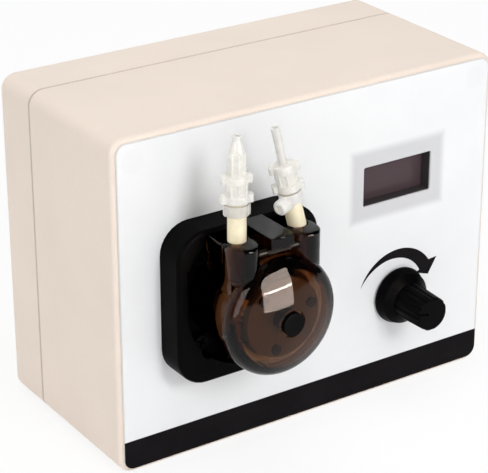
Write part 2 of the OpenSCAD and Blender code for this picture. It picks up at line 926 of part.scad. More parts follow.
// Cross-section of the squeezed tube, drawn as radius and height
module pinched_section() {
    translate([pinch_mid, tube_plane]) {
        square([pinch_t, pinch_w - pinch_t], center = true);
        for (s = [-1, 1]) translate([0, s * (pinch_w - pinch_t) / 2]) circle(pinch_t / 2);
    }
}

// Frames of the two tube ends: z runs along the tube, out of the port
module at_left_hose() {
    at_pump() translate([-port_x, hose_y, tube_plane]) rotate([-90, 0, 0]) children();
}
module at_right_bend() {
    at_pump() translate([port_x, hose_y - bend_l, tube_plane])
        rotate([-90, 0, 0]) rotate([0, 0, lean_turn]) children();
}
module at_right_hose() {
    at_right_bend() translate([bend_r * (1 - cos(lean)), 0, bend_r * sin(lean)])
        rotate([0, lean, 0]) rotate([0, 0, -lean_turn]) children();
}

// Elbow of a round rod of radius r that leans towards x
module elbow(r) {
    translate([bend_r, 0, 0]) rotate([90, 0, 0]) rotate([0, 0, 180 - lean])
        rotate_extrude(angle = lean) translate([bend_r, 0]) circle(r);
}

// Round rod of radius r through both ports, along the ends and round the bend
module tube_rod(r, extra) {
    at_left_hose() disc(r, lift_y - hose_y, tube_free + extra);
    at_right_bend() {
        disc(r, lift_y - hose_y + bend_l, run);
        elbow(r - close);
    }
    at_right_hose() disc(r, -run, tube_free - right_drop + extra);
}

module pump_tube() {
    color("Cornsilk") difference() {
        union() {
            at_pump() {
                rotate([0, 0, 180 - lead_angle]) rotate_extrude(angle = 180 + 2 * lead_angle)
                    pinched_section();
                for (s = [0, 1]) mirror([s, 0, 0]) hull() {
                    for (t = [-1, 1]) rotate([0, 0, lead_angle])
                        translate([pinch_mid, -slice, tube_plane + t * (pinch_w - pinch_t) / 2])
                            rotate([-90, 0, 0])
                                cylinder(r = pinch_t / 2 - tube_step, h = slice, $fn = 32);
                    translate([port_x, lift_y, tube_plane]) rotate([-90, 0, 0])
                        cylinder(r = tube_r - tube_step, h = slice, $fn = 32);
                }
            }
            tube_rod(tube_r, 0);
        }
        tube_rod(bore_r, 1);
    }
}

// Collar with two wings that stops the tube on the connector
module wings(z0, z1, w) {
    disc(connector_r + 0.35, z0, z1);
    translate([0, 0, z0]) linear_extrude(z1 - z0) rounded_rect(w, wing_t, 0.6);
}

// Ribs along a round stem
module ribs(r, z0, z1) {
    for (a = [0 : 45 : 315]) rotate([0, 0, a]) translate([r, 0, 0]) disc(rib_r, z0, z1);
}

// Tube connector: shank in the tube, two winged collars and a thin hose stem
module connector(finned) {
    color("White", 0.8) difference() {
        union() {
            disc(bore_r - close, tube_free - 6.5, collar_z + skin);
            wings(collar_z, collar_z + collar_t, wing_w);
            disc(connector_r, collar_z + collar_t - skin, collar2_z + skin);
            ribs(connector_r, collar_z + collar_t - skin, collar2_z + skin);
            wings(collar2_z, collar2_z + collar_t, wing_w - 0.4);
            disc(stem_r, collar2_z + collar_t - skin, stem_z + stem_l);
            if (finned) {
                disc(fin_r, stem_z - skin, stem_z + fin_l);
                ribs(fin_r, stem_z - skin, stem_z + fin_l);
                translate([0, 0, stem_z + fin_l - skin])
                    cylinder(r1 = fin_r - fit, r2 = stem_r - skin, h = taper_l);
            }
        }
        disc(stem_bore_r, 0, stem_z + stem_l + 1);
    }
}

module connector_left() {
    at_left_hose() rotate([0, 0, left_turn]) connector(true);
}
module connector_right() {
    at_right_hose() translate([0, 0, -right_drop]) rotate([0, 0, right_turn]) connector(false);
}

// Stub that ends in a rounded edge and a shallow dimple
module grip_stub(r, h) {
    difference() {
        union() {
            disc(r, 0, h - stub_edge);
            disc(r - stub_edge, 0, h);
            translate([0, 0, h - stub_edge]) rotate_extrude() translate([r - stub_edge, 0])
                circle(stub_edge - skin);
        }
        disc(r / 2, h - stub_edge / 2, h + 1);
    }
}

// Spring clip around the tube, with a pair of ears and, where asked for, a grip
module clip(gripped) {
    color("White") difference() {
        union() {
            disc(clip_r, clip_z, clip_z + clip_h);
            translate([0, 0, clip_z]) linear_extrude(clip_h) rounded_rect(2 * clip_r + 0.7, 2, 0.6);
            if (gripped) translate([0, 0, tube_free - gap - stub_r]) rotate([0, -90, 0])
                grip_stub(stub_r, clip_r + stub_l);
        }
        disc(tube_r + close, clip_z - 2 * stub_r, tube_free + 1);
    }
}

module clip_left() {
    at_left_hose() rotate([0, 0, left_turn]) clip(false);
}
module clip_right() {
    at_right_hose() translate([0, 0, -right_drop]) rotate([0, 0, grip_turn]) clip(true);
}

// ---- Motor ----

// Square with cut corners, the motor's outline
module motor_outline() {
    cut = 2.6;
    intersection() {
        square(motor_w, center = true);
        rotate([0, 0, 45]) square(sqrt(2) * (motor_w - cut), center = true);
    }
}

module motor_front_bell() {
    color("Silver") at_pump() difference() {
        union() {
            translate([0, 0, motor_face - bell_t]) linear_extrude(bell_t) motor_outline();
            disc(boss_r, motor_face - skin, motor_face + boss_t);
        }
        disc(shaft_r + 0.5, motor_face - bell_t - 1, motor_face + boss_t + 1);
        disc(seat_r + close, motor_face - bell_t - 1, motor_face - bell_t + bearing_t);
        disc(core_r + 0.6, motor_face - bell_t - 1, motor_face - bell_t + 1);
        at_corners(screw_pitch, screw_pitch) {
            disc(m25_r + close, motor_face - 3.2, motor_face + 1);
            disc(m25_r + close, motor_face - bell_t - 1, motor_face - 4);
        }
    }
}

module motor_stator() {
    color("DimGray") at_pump() difference() {
        translate([0, 0, stator_back])
            linear_extrude(motor_face - bell_t - stator_back) motor_outline();
        disc(core_r + core_gap, stator_back - over, motor_face);
        at_corners(screw_pitch, screw_pitch) disc(m25_r + fit, stator_back - 1, motor_face);
    }
}

module motor_rear_bell() {
    color("Silver") at_pump() difference() {
        translate([0, 0, motor_back]) linear_extrude(bell_t) motor_outline();
        disc(seat_r + close, stator_back - bearing_wall - bearing_t, stator_back + 1);
        disc(core_r + 0.6, stator_back - 1, stator_back + 1);
        at_corners(screw_pitch, screw_pitch) disc(m25_r + fit, motor_back - 1, stator_back + 1);
    }
}

module motor_bearings() {
    color("Gainsboro") at_pump() {
        ring(seat_r, shaft_r + run, motor_face - bell_t, motor_face - bell_t + bearing_t);
        ring(seat_r, shaft_r + run, stator_back - bearing_wall - bearing_t, stator_back - bearing_wall);
    }
}

module motor_shaft() {
    flat_z = base_floor;
    color("Gainsboro") at_pump() {
        disc(shaft_r, stator_back - bearing_wall - bearing_t + 0.2, flat_z);
        shaft_bore(flat_z - skin, shaft_end, 0);
    }
}

module motor_core() {
    color("Gray") at_pump() ring(core_r, shaft_r + close, stator_back + end_gap,
                                            motor_face - bell_t - end_gap);
}

module motor_screws() {
    color("Silver") at_pump() at_corners(screw_pitch, screw_pitch) {
        disc(m25_r, motor_back - skin, motor_face - 4.3);
        disc(m25_head_r, motor_back - m25_head_h, motor_back);
    }
}

// ---- Controller ----

module controller_board() {
    color("DarkGreen") at_board() difference() {
        plate(board_w, board_h, 1.5, board_back, board_top);
        at_corners(board_w - 2 * hole_inset, board_h - 2 * hole_inset)
            disc(m2_r + fit, board_back - 1, board_top + 1);
    }
}

module board_screws() {
    color("Silver") at_board() at_corners(board_w - 2 * hole_inset, board_h - 2 * hole_inset) {
        disc(m2_head_r, board_top, board_top + m2_head_h);
        disc(m2_r, board_back - board_screw_bite, board_top + skin);
    }
}

module on_board(x, y) {
    at_board() translate([x, y, board_top]) children();
}

module chip(x, y, w, h, t) {
    on_board(x, y) translate([-w / 2, -h / 2, 0]) cube([w, h, t]);
}

module board_chips() {
    color("Black") {
        chip(processor_x, processor_y, processor_w, processor_w, chip_t);
        chip(driver_x, driver_y, driver_w, driver_w, chip_t);
        chip(regulator_x, regulator_y, regulator_w, regulator_h, chip_t);
        chip(memory_x, memory_y, memory_w, memory_h, chip_t);
    }
}

module driver_heatsink() {
    color("Silver") on_board(driver_x, driver_y) translate([0, 0, chip_t]) {
        translate([-driver_w / 2, -driver_w / 2, 0]) cube([driver_w, driver_w, sink_t]);
        for (i = [0 : sink_fins - 1])
            translate([-driver_w / 2 + i * (driver_w - sink_fin_t) / (sink_fins - 1),
                       -driver_w / 2, sink_t - skin])
                cube([sink_fin_t, driver_w, sink_fin_h]);
    }
}

module board_capacitors() {
    color("DarkSlateGray") for (x = [capacitor_left_x, capacitor_right_x])
        on_board(x, capacitor_y) cylinder(r = capacitor_r, h = capacitor_h);
}

module wire_sockets() {
    color("Ivory") for (s = sockets) on_board(s[0], s[1])
        translate([-s[2] / 2, -socket_d / 2, 0]) cube([s[2], socket_d, socket_h]);
}

module power_jack() {
    color("Black") at_jack() difference() {
        union() {
            disc(jack_r + jack_flange_w, -case_d - jack_flange_t, -case_d);
            disc(jack_r, -case_d - skin, jack_back);
        }
        disc(jack_bore_r, -case_d - jack_flange_t - over, jack_floor);
        disc(jack_pin_r + close, jack_floor - over, jack_floor + jack_pin_seat);
    }
}

module jack_pin() {
    color("Silver") at_jack() disc(jack_pin_r, -case_d - 0.6, jack_floor + jack_pin_seat);
}

module jack_nut() {
    color("Silver") at_jack() difference() {
        translate([0, 0, rear_in]) cylinder(r = jack_r + jack_nut_w, h = jack_nut_h, $fn = 6);
        disc(jack_r + close, rear_in - over, rear_in + jack_nut_h + over);
    }
}

// ---- Wires ----

// Tip of wire i of n on socket s, in the film's frame
function socket_tip(s, i, n) = [
    board_x + sockets[s][0] + (i - (n - 1) / 2) * (sockets[s][2] - 2) / n,
    board_y + sockets[s][1],
    board_top + socket_h
];

// One wire, which leaves and meets its seats square to them
module wire(a, ta, b, tb, off) {
    leave = a + wire_end * unit(ta);
    meet = b - wire_end * unit(tb);
    sweep(concat([a], curve(leave, ta, meet, tb), [b]), wire_r, off, 6);
}

module motor_wires() {
    color("Crimson") at_front() for (i = [0 : 3])
        wire([pump_x + motor_w / 2, pump_z + (i - 1.5) * 3, motor_back + 3], [7, 0, 0],
             socket_tip(0, i, 4), [0, 0, -6], [0, 1, 0]);
}

module display_wires() {
    color("Orange") at_front() for (i = [0 : 3])
        wire([window_x + (i - 1.5) * 2, window_z + display_board_w / 2 - 2.2,
              board_front - display_board_t], [0, 0, -12],
             socket_tip(1, i, 4), [0, 0, -12], [1, 0, 0]);
}

module knob_wires() {
    color("Gold") at_front() for (i = [-1 : 1])
        wire([knob_x + i * tag_pitch, knob_z - control_r - tag_l + 0.8, tag_z], [0, 0, -14],
             socket_tip(2, i + 1, 3), [0, 0, -12], [1, 0, 0]);
}

module power_wires() {
    color("Red") at_front() for (i = [0 : 1])
        wire([jack_x, jack_z + (i - 0.5) * 3, jack_back], [0, 0, 8],
             socket_tip(3, i, 2), [0, 0, -6], [1, 0, 0]);
}

front_shell();
rear_shell();
case_screws();
front_film();
display_bezel();
display_panel();
display_board();
display_screws();
speed_knob();
knob_shaft();
speed_control();
control_nut();
control_washer();
pump_base();
base_screws();
pump_housing();
head_plate();
release_latch();
latch_pin();
rotor();
rotor_front_plate();
rotor_nose();
roller(0);  // roller_1
roller(1);  // roller_2
roller(2);  // roller_3
roller_pins();
pump_tube();
connector_left();
connector_right();
clip_left();
clip_right();
motor_front_bell();
motor_stator();
motor_rear_bell();
motor_bearings();
motor_shaft();
motor_core();
motor_screws();
controller_board();
board_screws();
board_chips();
board_capacitors();
driver_heatsink();
wire_sockets();
power_jack();
jack_pin();
jack_nut();
motor_wires();
display_wires();
knob_wires();
power_wires();
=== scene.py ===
"""Looks of a bench peristaltic pump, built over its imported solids."""

import json
import math

import bmesh
import bpy
from mathutils import Matrix, Vector

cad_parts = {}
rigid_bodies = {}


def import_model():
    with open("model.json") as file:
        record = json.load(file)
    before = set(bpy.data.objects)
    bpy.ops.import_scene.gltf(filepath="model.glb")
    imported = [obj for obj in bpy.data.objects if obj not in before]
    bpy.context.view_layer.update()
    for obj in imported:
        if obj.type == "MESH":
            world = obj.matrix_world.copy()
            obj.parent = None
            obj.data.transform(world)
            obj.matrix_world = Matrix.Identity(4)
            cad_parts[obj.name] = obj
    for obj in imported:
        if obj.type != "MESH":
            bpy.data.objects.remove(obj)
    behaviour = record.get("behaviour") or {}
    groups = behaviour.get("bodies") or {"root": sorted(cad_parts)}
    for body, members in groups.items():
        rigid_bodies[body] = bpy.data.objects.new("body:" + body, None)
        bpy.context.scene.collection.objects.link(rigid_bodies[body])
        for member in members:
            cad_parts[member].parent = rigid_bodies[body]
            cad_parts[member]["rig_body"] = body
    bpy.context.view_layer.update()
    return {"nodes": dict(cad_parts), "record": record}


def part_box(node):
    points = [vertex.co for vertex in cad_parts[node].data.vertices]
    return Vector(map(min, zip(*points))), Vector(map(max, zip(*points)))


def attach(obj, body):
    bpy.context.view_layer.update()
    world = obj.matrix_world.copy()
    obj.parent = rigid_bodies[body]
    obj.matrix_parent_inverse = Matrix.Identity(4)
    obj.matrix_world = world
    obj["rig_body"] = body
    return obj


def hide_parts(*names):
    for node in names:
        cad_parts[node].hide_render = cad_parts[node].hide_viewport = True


bl_info = {
    "name": "Bench Peristaltic Pump",
    "version": (1, 0, 0),
    "blender": (4, 5, 0),
    "location": "3D View > Sidebar > Pump",
    "description": "Dresses the pump's solids with finishes, print, a tube, lights and a camera",
    "category": "Object",
}

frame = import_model()
NODES = frame["nodes"]
MM = 0.001


def middle(node):
    """The middle of a solid's box."""
    return [(low + high) / 2 for low, high in zip(*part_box(node))]


FILM_LOW, FILM_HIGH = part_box("front_film")
FRONT_Y = FILM_LOW.y
PARTING_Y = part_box("front_shell")[1].y
PUMP_X, _, PUMP_Z = middle("pump_base")
KNOB_X, _, KNOB_Z = middle("speed_knob")
WINDOW_X, _, WINDOW_Z = middle("display_panel")
# Radius of the film's corners, mm
FILM_CORNER = 2.8
# Faces that meet at more than this keep a crease in their shading, degrees
CREASE = 32
WHITE = (1.0, 1.0, 1.0, 1.0)


# ---- Places ----


def seat(across=0.0, height=0.0):
    """Gives a function for points in millimetres to the right, up and out from the front film."""

    def point(x, up, out):
        return Vector((across + x * MM, FRONT_Y - out * MM, height + up * MM))

    return point


from_film = seat()
from_pump = seat(PUMP_X, PUMP_Z)
from_knob = seat(KNOB_X, KNOB_Z)


def film_way(x, up, out):
    """A direction given in millimetres to the right, up and out."""
    return (x * MM, -out * MM, up * MM)


def polar(radius, angle):
    """The x and y of a point at a radius and an angle in degrees."""
    turn = math.radians(angle)
    return radius * math.cos(turn), radius * math.sin(turn)


def shares(count, first=0):
    """Even steps of a whole, up to all of it."""
    return [step / count for step in range(first, count + 1)]


def between(low, high, share):
    """The value at a share of the way from one to another."""
    return low + (high - low) * share


# ---- Node trees ----


def add_node(tree, kind, settings=None, inputs=None):
    """Makes a node: its settings first, then the values or links of its sockets."""
    node = tree.nodes.new(kind)
    for key, value in (settings or {}).items():
        setattr(node, key, value)
    named = {socket.identifier: socket for socket in node.inputs}
    for key, value in (inputs or {}).items():
        socket = named[key] if key in named else node.inputs[key]
        source = getattr(value, "socket", value)
        if isinstance(source, bpy.types.NodeSocket):
            tree.links.new(source, socket)
        else:
            socket.default_value = source
    return node


class Term:
    """A shader socket that takes part in ordinary arithmetic."""

    def __init__(self, finish, socket):
        self.finish = finish
        self.socket = socket

    def maths(self, operation, first, second=0.0):
        return self.finish.node("Math", {"operation": operation}, {0: first, 1: second})

    def __add__(self, other):
        return self.maths("ADD", self, other)

    def __sub__(self, other):
        return self.maths("SUBTRACT", self, other)

    def __rsub__(self, other):
        return self.maths("SUBTRACT", other, self)

    def __mul__(self, other):
        return self.maths("MULTIPLY", self, other)

    def __truediv__(self, other):
        return self.maths("DIVIDE", self, other)

    def __abs__(self):
        return self.maths("ABSOLUTE", self)

    def least(self, other):
        return self.maths("MINIMUM", self, other)

    def most(self, other):
        return self.maths("MAXIMUM", self, other)

    def fold(self, span):
        """Triangle wave that rises from 0 to a span and falls again."""
        return self.maths("PINGPONG", self, span)

    def reach(self, other):
        """Length of a step that has the two as its sides."""
        return self.maths("SQRT", self * self + other * other)


class Finish:
    """A material or world in the making."""

    def __init__(self, name, world=None):
        self.material = world or bpy.data.materials.new(name)
        self.material.use_nodes = True
        self.tree = self.material.node_tree
        self.tree.nodes.clear()

    def node(self, kind, settings=None, inputs=None, output=0):
        """Adds any shader node, named without its common first word."""
        made = add_node(self.tree, "ShaderNode" + kind, settings, inputs)
        return Term(self, made.outputs[output])

    def parts(self, vector):
        """The three parts of a vector."""
        apart = add_node(self.tree, "ShaderNodeSeparateXYZ", None, {0: vector})
        return [Term(self, socket) for socket in apart.outputs]

    def place(self):
        """Object coordinates in millimetres."""
        spot = self.node("TexCoord", output="Object")
        return self.node("VectorMath", {"operation": "SCALE"}, {"Vector": spot, "Scale": 1 / MM})

    def axes(self):
        """The three Object coordinates in millimetres, apart."""
        return self.parts(self.place())

    def noise(self, scale, detail=3.0, roughness=0.55, place=None):
        """Noise with features of about 1/scale millimetres."""
        inputs = {"Scale": scale, "Detail": detail, "Roughness": roughness}
        inputs["Vector"] = place or self.place()
        return self.node("TexNoise", {"noise_dimensions": "3D"}, inputs, "Fac")

    def remap(self, value, low, high, to_low=0.0, to_high=1.0):
        """Clamped and smooth passage of a value from one range to another."""
        inputs = {"Value": value, "From Min": low, "From Max": high}
        inputs.update({"To Min": to_low, "To Max": to_high})
        settings = {"interpolation_type": "SMOOTHSTEP", "clamp": True}
        return self.node("MapRange", settings, inputs)

    def spread(self, noise, low, high):
        """A value that follows a noise from low to high."""
        return self.remap(noise, 0.3, 0.7, low, high)

    def blend(self, factor, first, second):
        """Mix of two colours."""
        inputs = {"Factor_Float": factor, "A_Color": first, "B_Color": second}
        return self.node("Mix", {"data_type": "RGBA"}, inputs, 2)

    def mottle(self, noise, colour, low, high):
        """A colour that follows a noise from a darker to a lighter shade."""
        return self.blend(self.remap(noise, 0.3, 0.7), shade(colour, low), shade(colour, high))

    def bump(self, height, distance, strength=1.0):
        """Normal of a relief whose height runs from 0 to 1 over a distance in millimetres."""
        inputs = {"Height": height, "Distance": distance * MM, "Strength": strength}
        return self.node("Bump", None, inputs)

    def principled(self, colour, roughness, normal=None, more=None):
        """A Principled shader."""
        inputs = {"Base Color": colour, "Roughness": roughness, **(more or {})}
        if normal:
            inputs["Normal"] = normal
        return self.node("BsdfPrincipled", None, inputs)

    def coated(self, colour, roughness, normal=None, more=None):
        """The material, ended in a Principled shader."""
        return self.ended(self.principled(colour, roughness, normal, more))

    def mix(self, factor, first, second):
        """Mix of two shaders."""
        return self.node("MixShader", None, {0: factor, 1: first, 2: second})

    def ended(self, shader, depth=None):
        """The material, ended in a shader and, if it has one, in the shader of its depth."""
        ends = {"Surface": shader, **({"Volume": depth} if depth else {})}
        add_node(self.tree, "ShaderNodeOutputMaterial", None, ends)
        return self.material


def shade(colour, factor):
    """A colour made darker or lighter."""
    return tuple(min(1.0, part * factor) for part in colour[:3]) + (1.0,)


# ---- Finishes ----


def moulded_plastic(name, colour, roughness, grain=2.2, relief=0.02, mottle=0.06, ior=1.5, groove_shade_width=0):
    """Moulded plastic: fine grain, slow change of tone and of gloss, painted shade in the parting
    groove if any.
    """
    finish = Finish(name)
    grain_noise = finish.noise(grain, 4.0, 0.6)
    tone = finish.mottle(finish.noise(0.035, 2.0), colour, 1 - mottle, 1 + mottle * 0.5)
    flecks = finish.remap(grain_noise, 0.42, 0.62, 0.0, 0.35)
    shown = finish.blend(flecks, tone, shade(colour, 1 - 1.6 * mottle))
    # Painted shade: the colour darkens within the given width of the parting plane, where shade
    # falls in the groove.
    if groove_shade_width:
        line = finish.remap(abs(finish.axes()[1] - PARTING_Y / MM), groove_shade_width * 0.7, groove_shade_width, 0.45, 0.0)
        shown = finish.blend(line, shown, shade(colour, 0.4))
    gloss = finish.remap(finish.noise(0.09, 3.0), 0.25, 0.75, roughness - 0.05, roughness + 0.07)
    normal = finish.bump(grain_noise, relief, 0.7)
    return finish.coated(shown, gloss, normal, {"IOR": ior})


def brushed_metal(name, colour, roughness, stretch=(1.0, 1.0, 1.0), relief=0.01, metallic=1.0):
    """Metal with fine streaks that run across the shortest stretch."""
    finish = Finish(name)
    place = finish.node("VectorMath", {"operation": "MULTIPLY"}, {0: finish.place(), 1: stretch})
    streaks = finish.noise(2.5, 4.0, 0.5, place)
    tone = finish.mottle(streaks, colour, 0.82, 1.08)
    gloss = finish.spread(finish.noise(0.2, 2.0), roughness - 0.06, roughness + 0.1)
    normal = finish.bump(streaks, relief, 0.5)
    return finish.coated(tone, gloss, normal, {"Metallic": metallic})


def smoked_plastic(name, body, tint):
    """Polished clear plastic, smoked brown in its depth, with moulding waves and faint dust."""
    finish = Finish(name)
    dust = finish.remap(finish.noise(5.0, 3.0, 0.7), 0.64, 0.8)
    solid = finish.principled(
        finish.blend(dust * 0.2, WHITE, (0.8, 0.77, 0.74, 1.0)),
        finish.remap(dust, 0.0, 1.0, 0.02, 0.1),
        finish.bump(finish.noise(0.16, 1.0), 0.02, 0.3),
        {"IOR": 1.3, "Transmission Weight": 1.0},
    )
    clear = finish.node("BsdfTransparent", None, {"Color": (*tint, 1.0)})
    shadow = finish.node("LightPath", output="Is Shadow Ray")
    depth = finish.node("VolumeAbsorption", None, {"Color": (*body, 1.0), "Density": 1900.0})
    return finish.ended(finish.mix(shadow, solid, clear), depth)


def film_finish(look):
    """White printed film: satin, a translucent patch over the display, faint bosses, painted shade
    along its cut edge.
    """
    finish = Finish("printed_film")
    x, _, z = finish.axes()
    side = abs(x - WINDOW_X / MM) - look.patch_size[0] / 2
    rise = abs(z - look.patch_height) - look.patch_size[1] / 2
    inward, outward = -1.9, 0.7
    patch = finish.remap(side.most(rise), inward, outward, 1.0, 0.0)
    cloud = finish.noise(0.05, 2.0)
    ground = finish.mottle(cloud, look.white, 0.985, 1.01)
    toned = finish.blend(patch * look.patch_strength, ground, (*look.patch_tone, 1.0))
    bosses, boss_r, boss_rim = None, 2.6, 3.6
    for sign_x in (-1, 1):
        for height in look.boss_heights:
            away = (x - sign_x * look.boss_offset).reach(z - height)
            spot = finish.remap(away, boss_r, boss_rim, 1.0, 0.0)
            bosses = bosses.most(spot) if bosses else spot
    shown = finish.blend(bosses * 0.05, toned, (0.55, 0.55, 0.56, 1.0))
    # Painted shade: a dark line over the last few tenths of a millimetre of the film, where it
    # meets the case.
    middle, half = (FILM_LOW + FILM_HIGH) / 2 / MM, (FILM_HIGH - FILM_LOW) / 2 / MM
    out_x = (abs(x - middle.x) - (half.x - FILM_CORNER)).most(0.0)
    out_z = (abs(z - middle.z) - (half.z - FILM_CORNER)).most(0.0)
    edge = out_x.reach(out_z)
    cut = finish.remap(edge, FILM_CORNER - 0.36, FILM_CORNER - 0.14, 0.0, 0.45)
    shown = finish.blend(cut, shown, (0.44, 0.41, 0.37, 1.0))
    normal = finish.bump(finish.noise(3.0, 3.0), 0.006, 0.4)
    gloss = finish.spread(cloud, 0.34, 0.42)
    return finish.coated(shown, gloss, normal, {"IOR": 1.18})


def print_ink(name, colour, roughness):
    """Screen-printed ink with a slightly uneven gloss."""
    finish = Finish(name)
    cloud = finish.noise(0.12, 3.0)
    tone = finish.mottle(cloud, colour, 0.9, 1.12)
    gloss = finish.spread(cloud, roughness - 0.04, roughness + 0.05)
    normal = finish.bump(finish.noise(3.0, 3.0), 0.005, 0.4)
    return finish.coated(tone, gloss, normal, {"IOR": 1.1})


def window_glass(look):
    """Dark display glass, lighter in the middle with painted shade towards its rim, and a faint
    grid of unlit dots.
    """
    finish = Finish("display_glass")
    x, _, z = finish.axes()
    side = abs(x - WINDOW_X / MM) - look.window_size[0] / 2
    rise = abs(z - look.window_height) - look.window_size[1] / 2
    # Painted shade: the glass darkens towards the rim of the window, where the bezel's walls shade
    # it.
    rim = finish.remap(side.most(rise), -1.9, -0.2)
    dot = 0.085
    grid = finish.remap(x.fold(dot).least(z.fold(dot)), 0.0, 0.03)
    ground = finish.blend(rim, (*look.glass_tone, 1.0), (*look.glass_rim_shade, 1.0))
    tone = finish.blend(grid * 0.25, shade(look.glass_tone, 0.8), ground)
    gloss = finish.spread(finish.noise(0.2, 2.0), 0.10, 0.18)
    return finish.coated(tone, gloss, None, {"IOR": 1.22})


def glow(weight, radius):
    """Settings for light that spreads under a surface."""
    return {"Subsurface Weight": weight, "Subsurface Radius": radius, "Subsurface Scale": 0.5}


def soft_tube(name, colour):
    """Cream elastomer: waxy, with a faint cloud and a fine powdery bloom."""
    finish = Finish(name)
    cloud = finish.noise(0.3, 3.0)
    specks = finish.remap(finish.noise(1.1, 4.0, 0.7), 0.66, 0.74, 0.0, 0.4)
    tone = finish.mottle(cloud, colour, 0.93, 1.04)
    marked = finish.blend(specks, tone, (0.52, 0.44, 0.28, 1.0))
    normal = finish.bump(finish.noise(1.6, 3.0), 0.02, 0.4)
    wax = glow(0.25, (0.004, 0.003, 0.0015))
    return finish.coated(marked, finish.spread(cloud, 0.42, 0.52), normal, wax)


def milky_plastic(name, colour, body):
    """Natural translucent plastic of hose fittings: cloudier where it is seen at a slant."""
    finish = Finish(name)
    cloud = finish.noise(0.35, 3.0)
    tone = finish.mottle(cloud, colour, 0.96, 1.02)
    clear = finish.node("BsdfTransparent", None, {"Color": (0.97, 0.96, 0.93, 1.0)})
    normal = finish.bump(finish.noise(1.4, 2.0), 0.01, 0.3)
    milk = {"IOR": 1.49, **glow(0.6, (0.003, 0.003, 0.0025))}
    solid = finish.principled(tone, finish.spread(cloud, 0.22, 0.32), normal, milk)
    slant = finish.node("Fresnel", None, {"IOR": 1.3})
    return finish.ended(finish.mix(finish.remap(slant, 0.015, 0.35, body, 1.0), clear, solid))


def solder_mask(name, colour):
    """Circuit board: lacquer with traces under it and a grid of tinned pads."""
    finish = Finish(name)
    x, _, z = finish.axes()
    region = finish.noise(0.11, 0.0)
    pick = finish.remap(region, 0.49, 0.51)
    lane, pitch = 0.9, 2.54
    lanes = x.fold(lane) * pick + z.fold(lane) * (1 - pick)
    track = finish.remap(lanes, 0.22, 0.3, 1.0, 0.0)
    tone = finish.blend(track * 0.6, (*colour, 1.0), shade(colour, 1.9))
    pad = finish.remap(x.fold(pitch).most(z.fold(pitch)), 0.35, 0.45, 1.0, 0.0)
    shown = finish.blend(pad, tone, (0.7, 0.66, 0.55, 1.0))
    normal = finish.bump(track, 0.02, 0.6)
    gloss = finish.spread(region, 0.28, 0.38)
    return finish.coated(shown, gloss, normal, {"Metallic": pad * 0.8})


# ---- Meshes ----


def object_from(name, mesh, material, body, slot):
    """Links a mesh as a piece that rides on a body."""
    piece = bpy.data.objects.new(name, mesh)
    bpy.context.scene.collection.objects.link(piece)
    mesh.materials.clear()
    mesh.materials.append(material)
    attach(piece, body)
    return piece


def smooth_by_angle(mesh, degrees):
    """Smooth shading with creases where faces meet at more than an angle."""
    mesh.shade_smooth()
    mesh.set_sharp_from_angle(angle=math.radians(degrees))


def merged_work(node):
    """A work copy of a solid's mesh with its loose triangles joined into clean faces."""
    work = bmesh.new()
    work.from_mesh(NODES[node].data)
    weld, flat = 2e-6, math.radians(1.0)
    bmesh.ops.remove_doubles(work, verts=work.verts, dist=weld)
    bmesh.ops.dissolve_limit(
        work, angle_limit=flat, verts=work.verts, edges=work.edges, delimit={"NORMAL"}
    )
    return work


def mesh_from(work, name):
    """The mesh that a work mesh ends in."""
    mesh = bpy.data.meshes.new(name)
    work.to_mesh(mesh)
    work.free()
    return mesh


def stand_in(node, name, mesh, material):
    """Links a mesh in place of a solid."""
    piece = object_from(name, mesh, material, NODES[node]["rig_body"], slot_of(node))
    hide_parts(node)
    return piece


def softened(node, name, material, bevel, crease=38.0, segments=2, before=None):
    """Replaces a solid with a copy whose sharp edges are rounded, after a change of its mesh."""
    work = merged_work(node)
    if before:
        before(work)
    mesh = mesh_from(work, name)
    smooth_by_angle(mesh, CREASE)
    piece = stand_in(node, name, mesh, material)
    rounding = piece.modifiers.new("Rounded edges", "BEVEL")
    rounding.width = bevel * MM
    rounding.segments = segments
    rounding.limit_method = "ANGLE"
    rounding.angle_limit = math.radians(crease)
    rounding.harden_normals = True
    rounding.use_clamp_overlap = True
    return piece


def moulded(node, name, material, grain):
    """Replaces a solid with an evenly meshed copy whose edges run softly into each other."""
    piece = stand_in(node, name, mesh_from(merged_work(node), name), material)
    even = piece.modifiers.new("Even", "REMESH")
    even.mode = "VOXEL"
    even.voxel_size = grain * MM
    even.use_smooth_shade = True
    soft = piece.modifiers.new("Soft", "SMOOTH")
    soft.factor = 0.5
    soft.iterations = 3
    return piece


def slot_of(node):
    """The record's material slot of a solid."""
    for entry in frame["record"]["subparts"]:
        if entry["node"] == node:
            return entry["material_slot"]
    raise KeyError(node)


def slab(name, outline, thickness, place):
    """A thin plate from an outline of (x, y) points."""
    return ring_mesh(name, [[place(x, y, height) for x, y in outline] for height in (0, thickness)])


def ring_mesh(name, rings):
    """A mesh skinned over rings of points, its first and last ring closed by faces."""
    work = bmesh.new()
    loops = [[work.verts.new(point) for point in ring] for ring in rings]
    for lower, upper in zip(loops, loops[1:]):
        for i in range(len(lower)):
            j = (i + 1) % len(lower)
            work.faces.new((lower[i], lower[j], upper[j], upper[i]))
    work.faces.new(list(reversed(loops[0])))
    work.faces.new(loops[-1])
    bmesh.ops.recalc_face_normals(work, faces=work.faces)
    bmesh.ops.triangulate(work, faces=[f for f in work.faces if len(f.verts) > 4])
    return mesh_from(work, name)


# ---- Settings ----


def colour_prop(name, description, default):
    return bpy.props.FloatVectorProperty(
        name=name, description=description, default=default, subtype="COLOR", min=0.0, max=1.0
    )


def number_prop(name, description, default, **more):
    return bpy.props.FloatProperty(name=name, description=description, default=default, **more)


def length_prop(name, description, default):
    return number_prop(name, description + ", mm", default, min=0.0)


def angle_prop(name, description, degrees):
    return number_prop(name, description, math.radians(degrees), subtype="ANGLE")


def pair_prop(name, description, default):
    return bpy.props.FloatVectorProperty(
        name=name, description=description + ", mm", default=default, size=2
    )


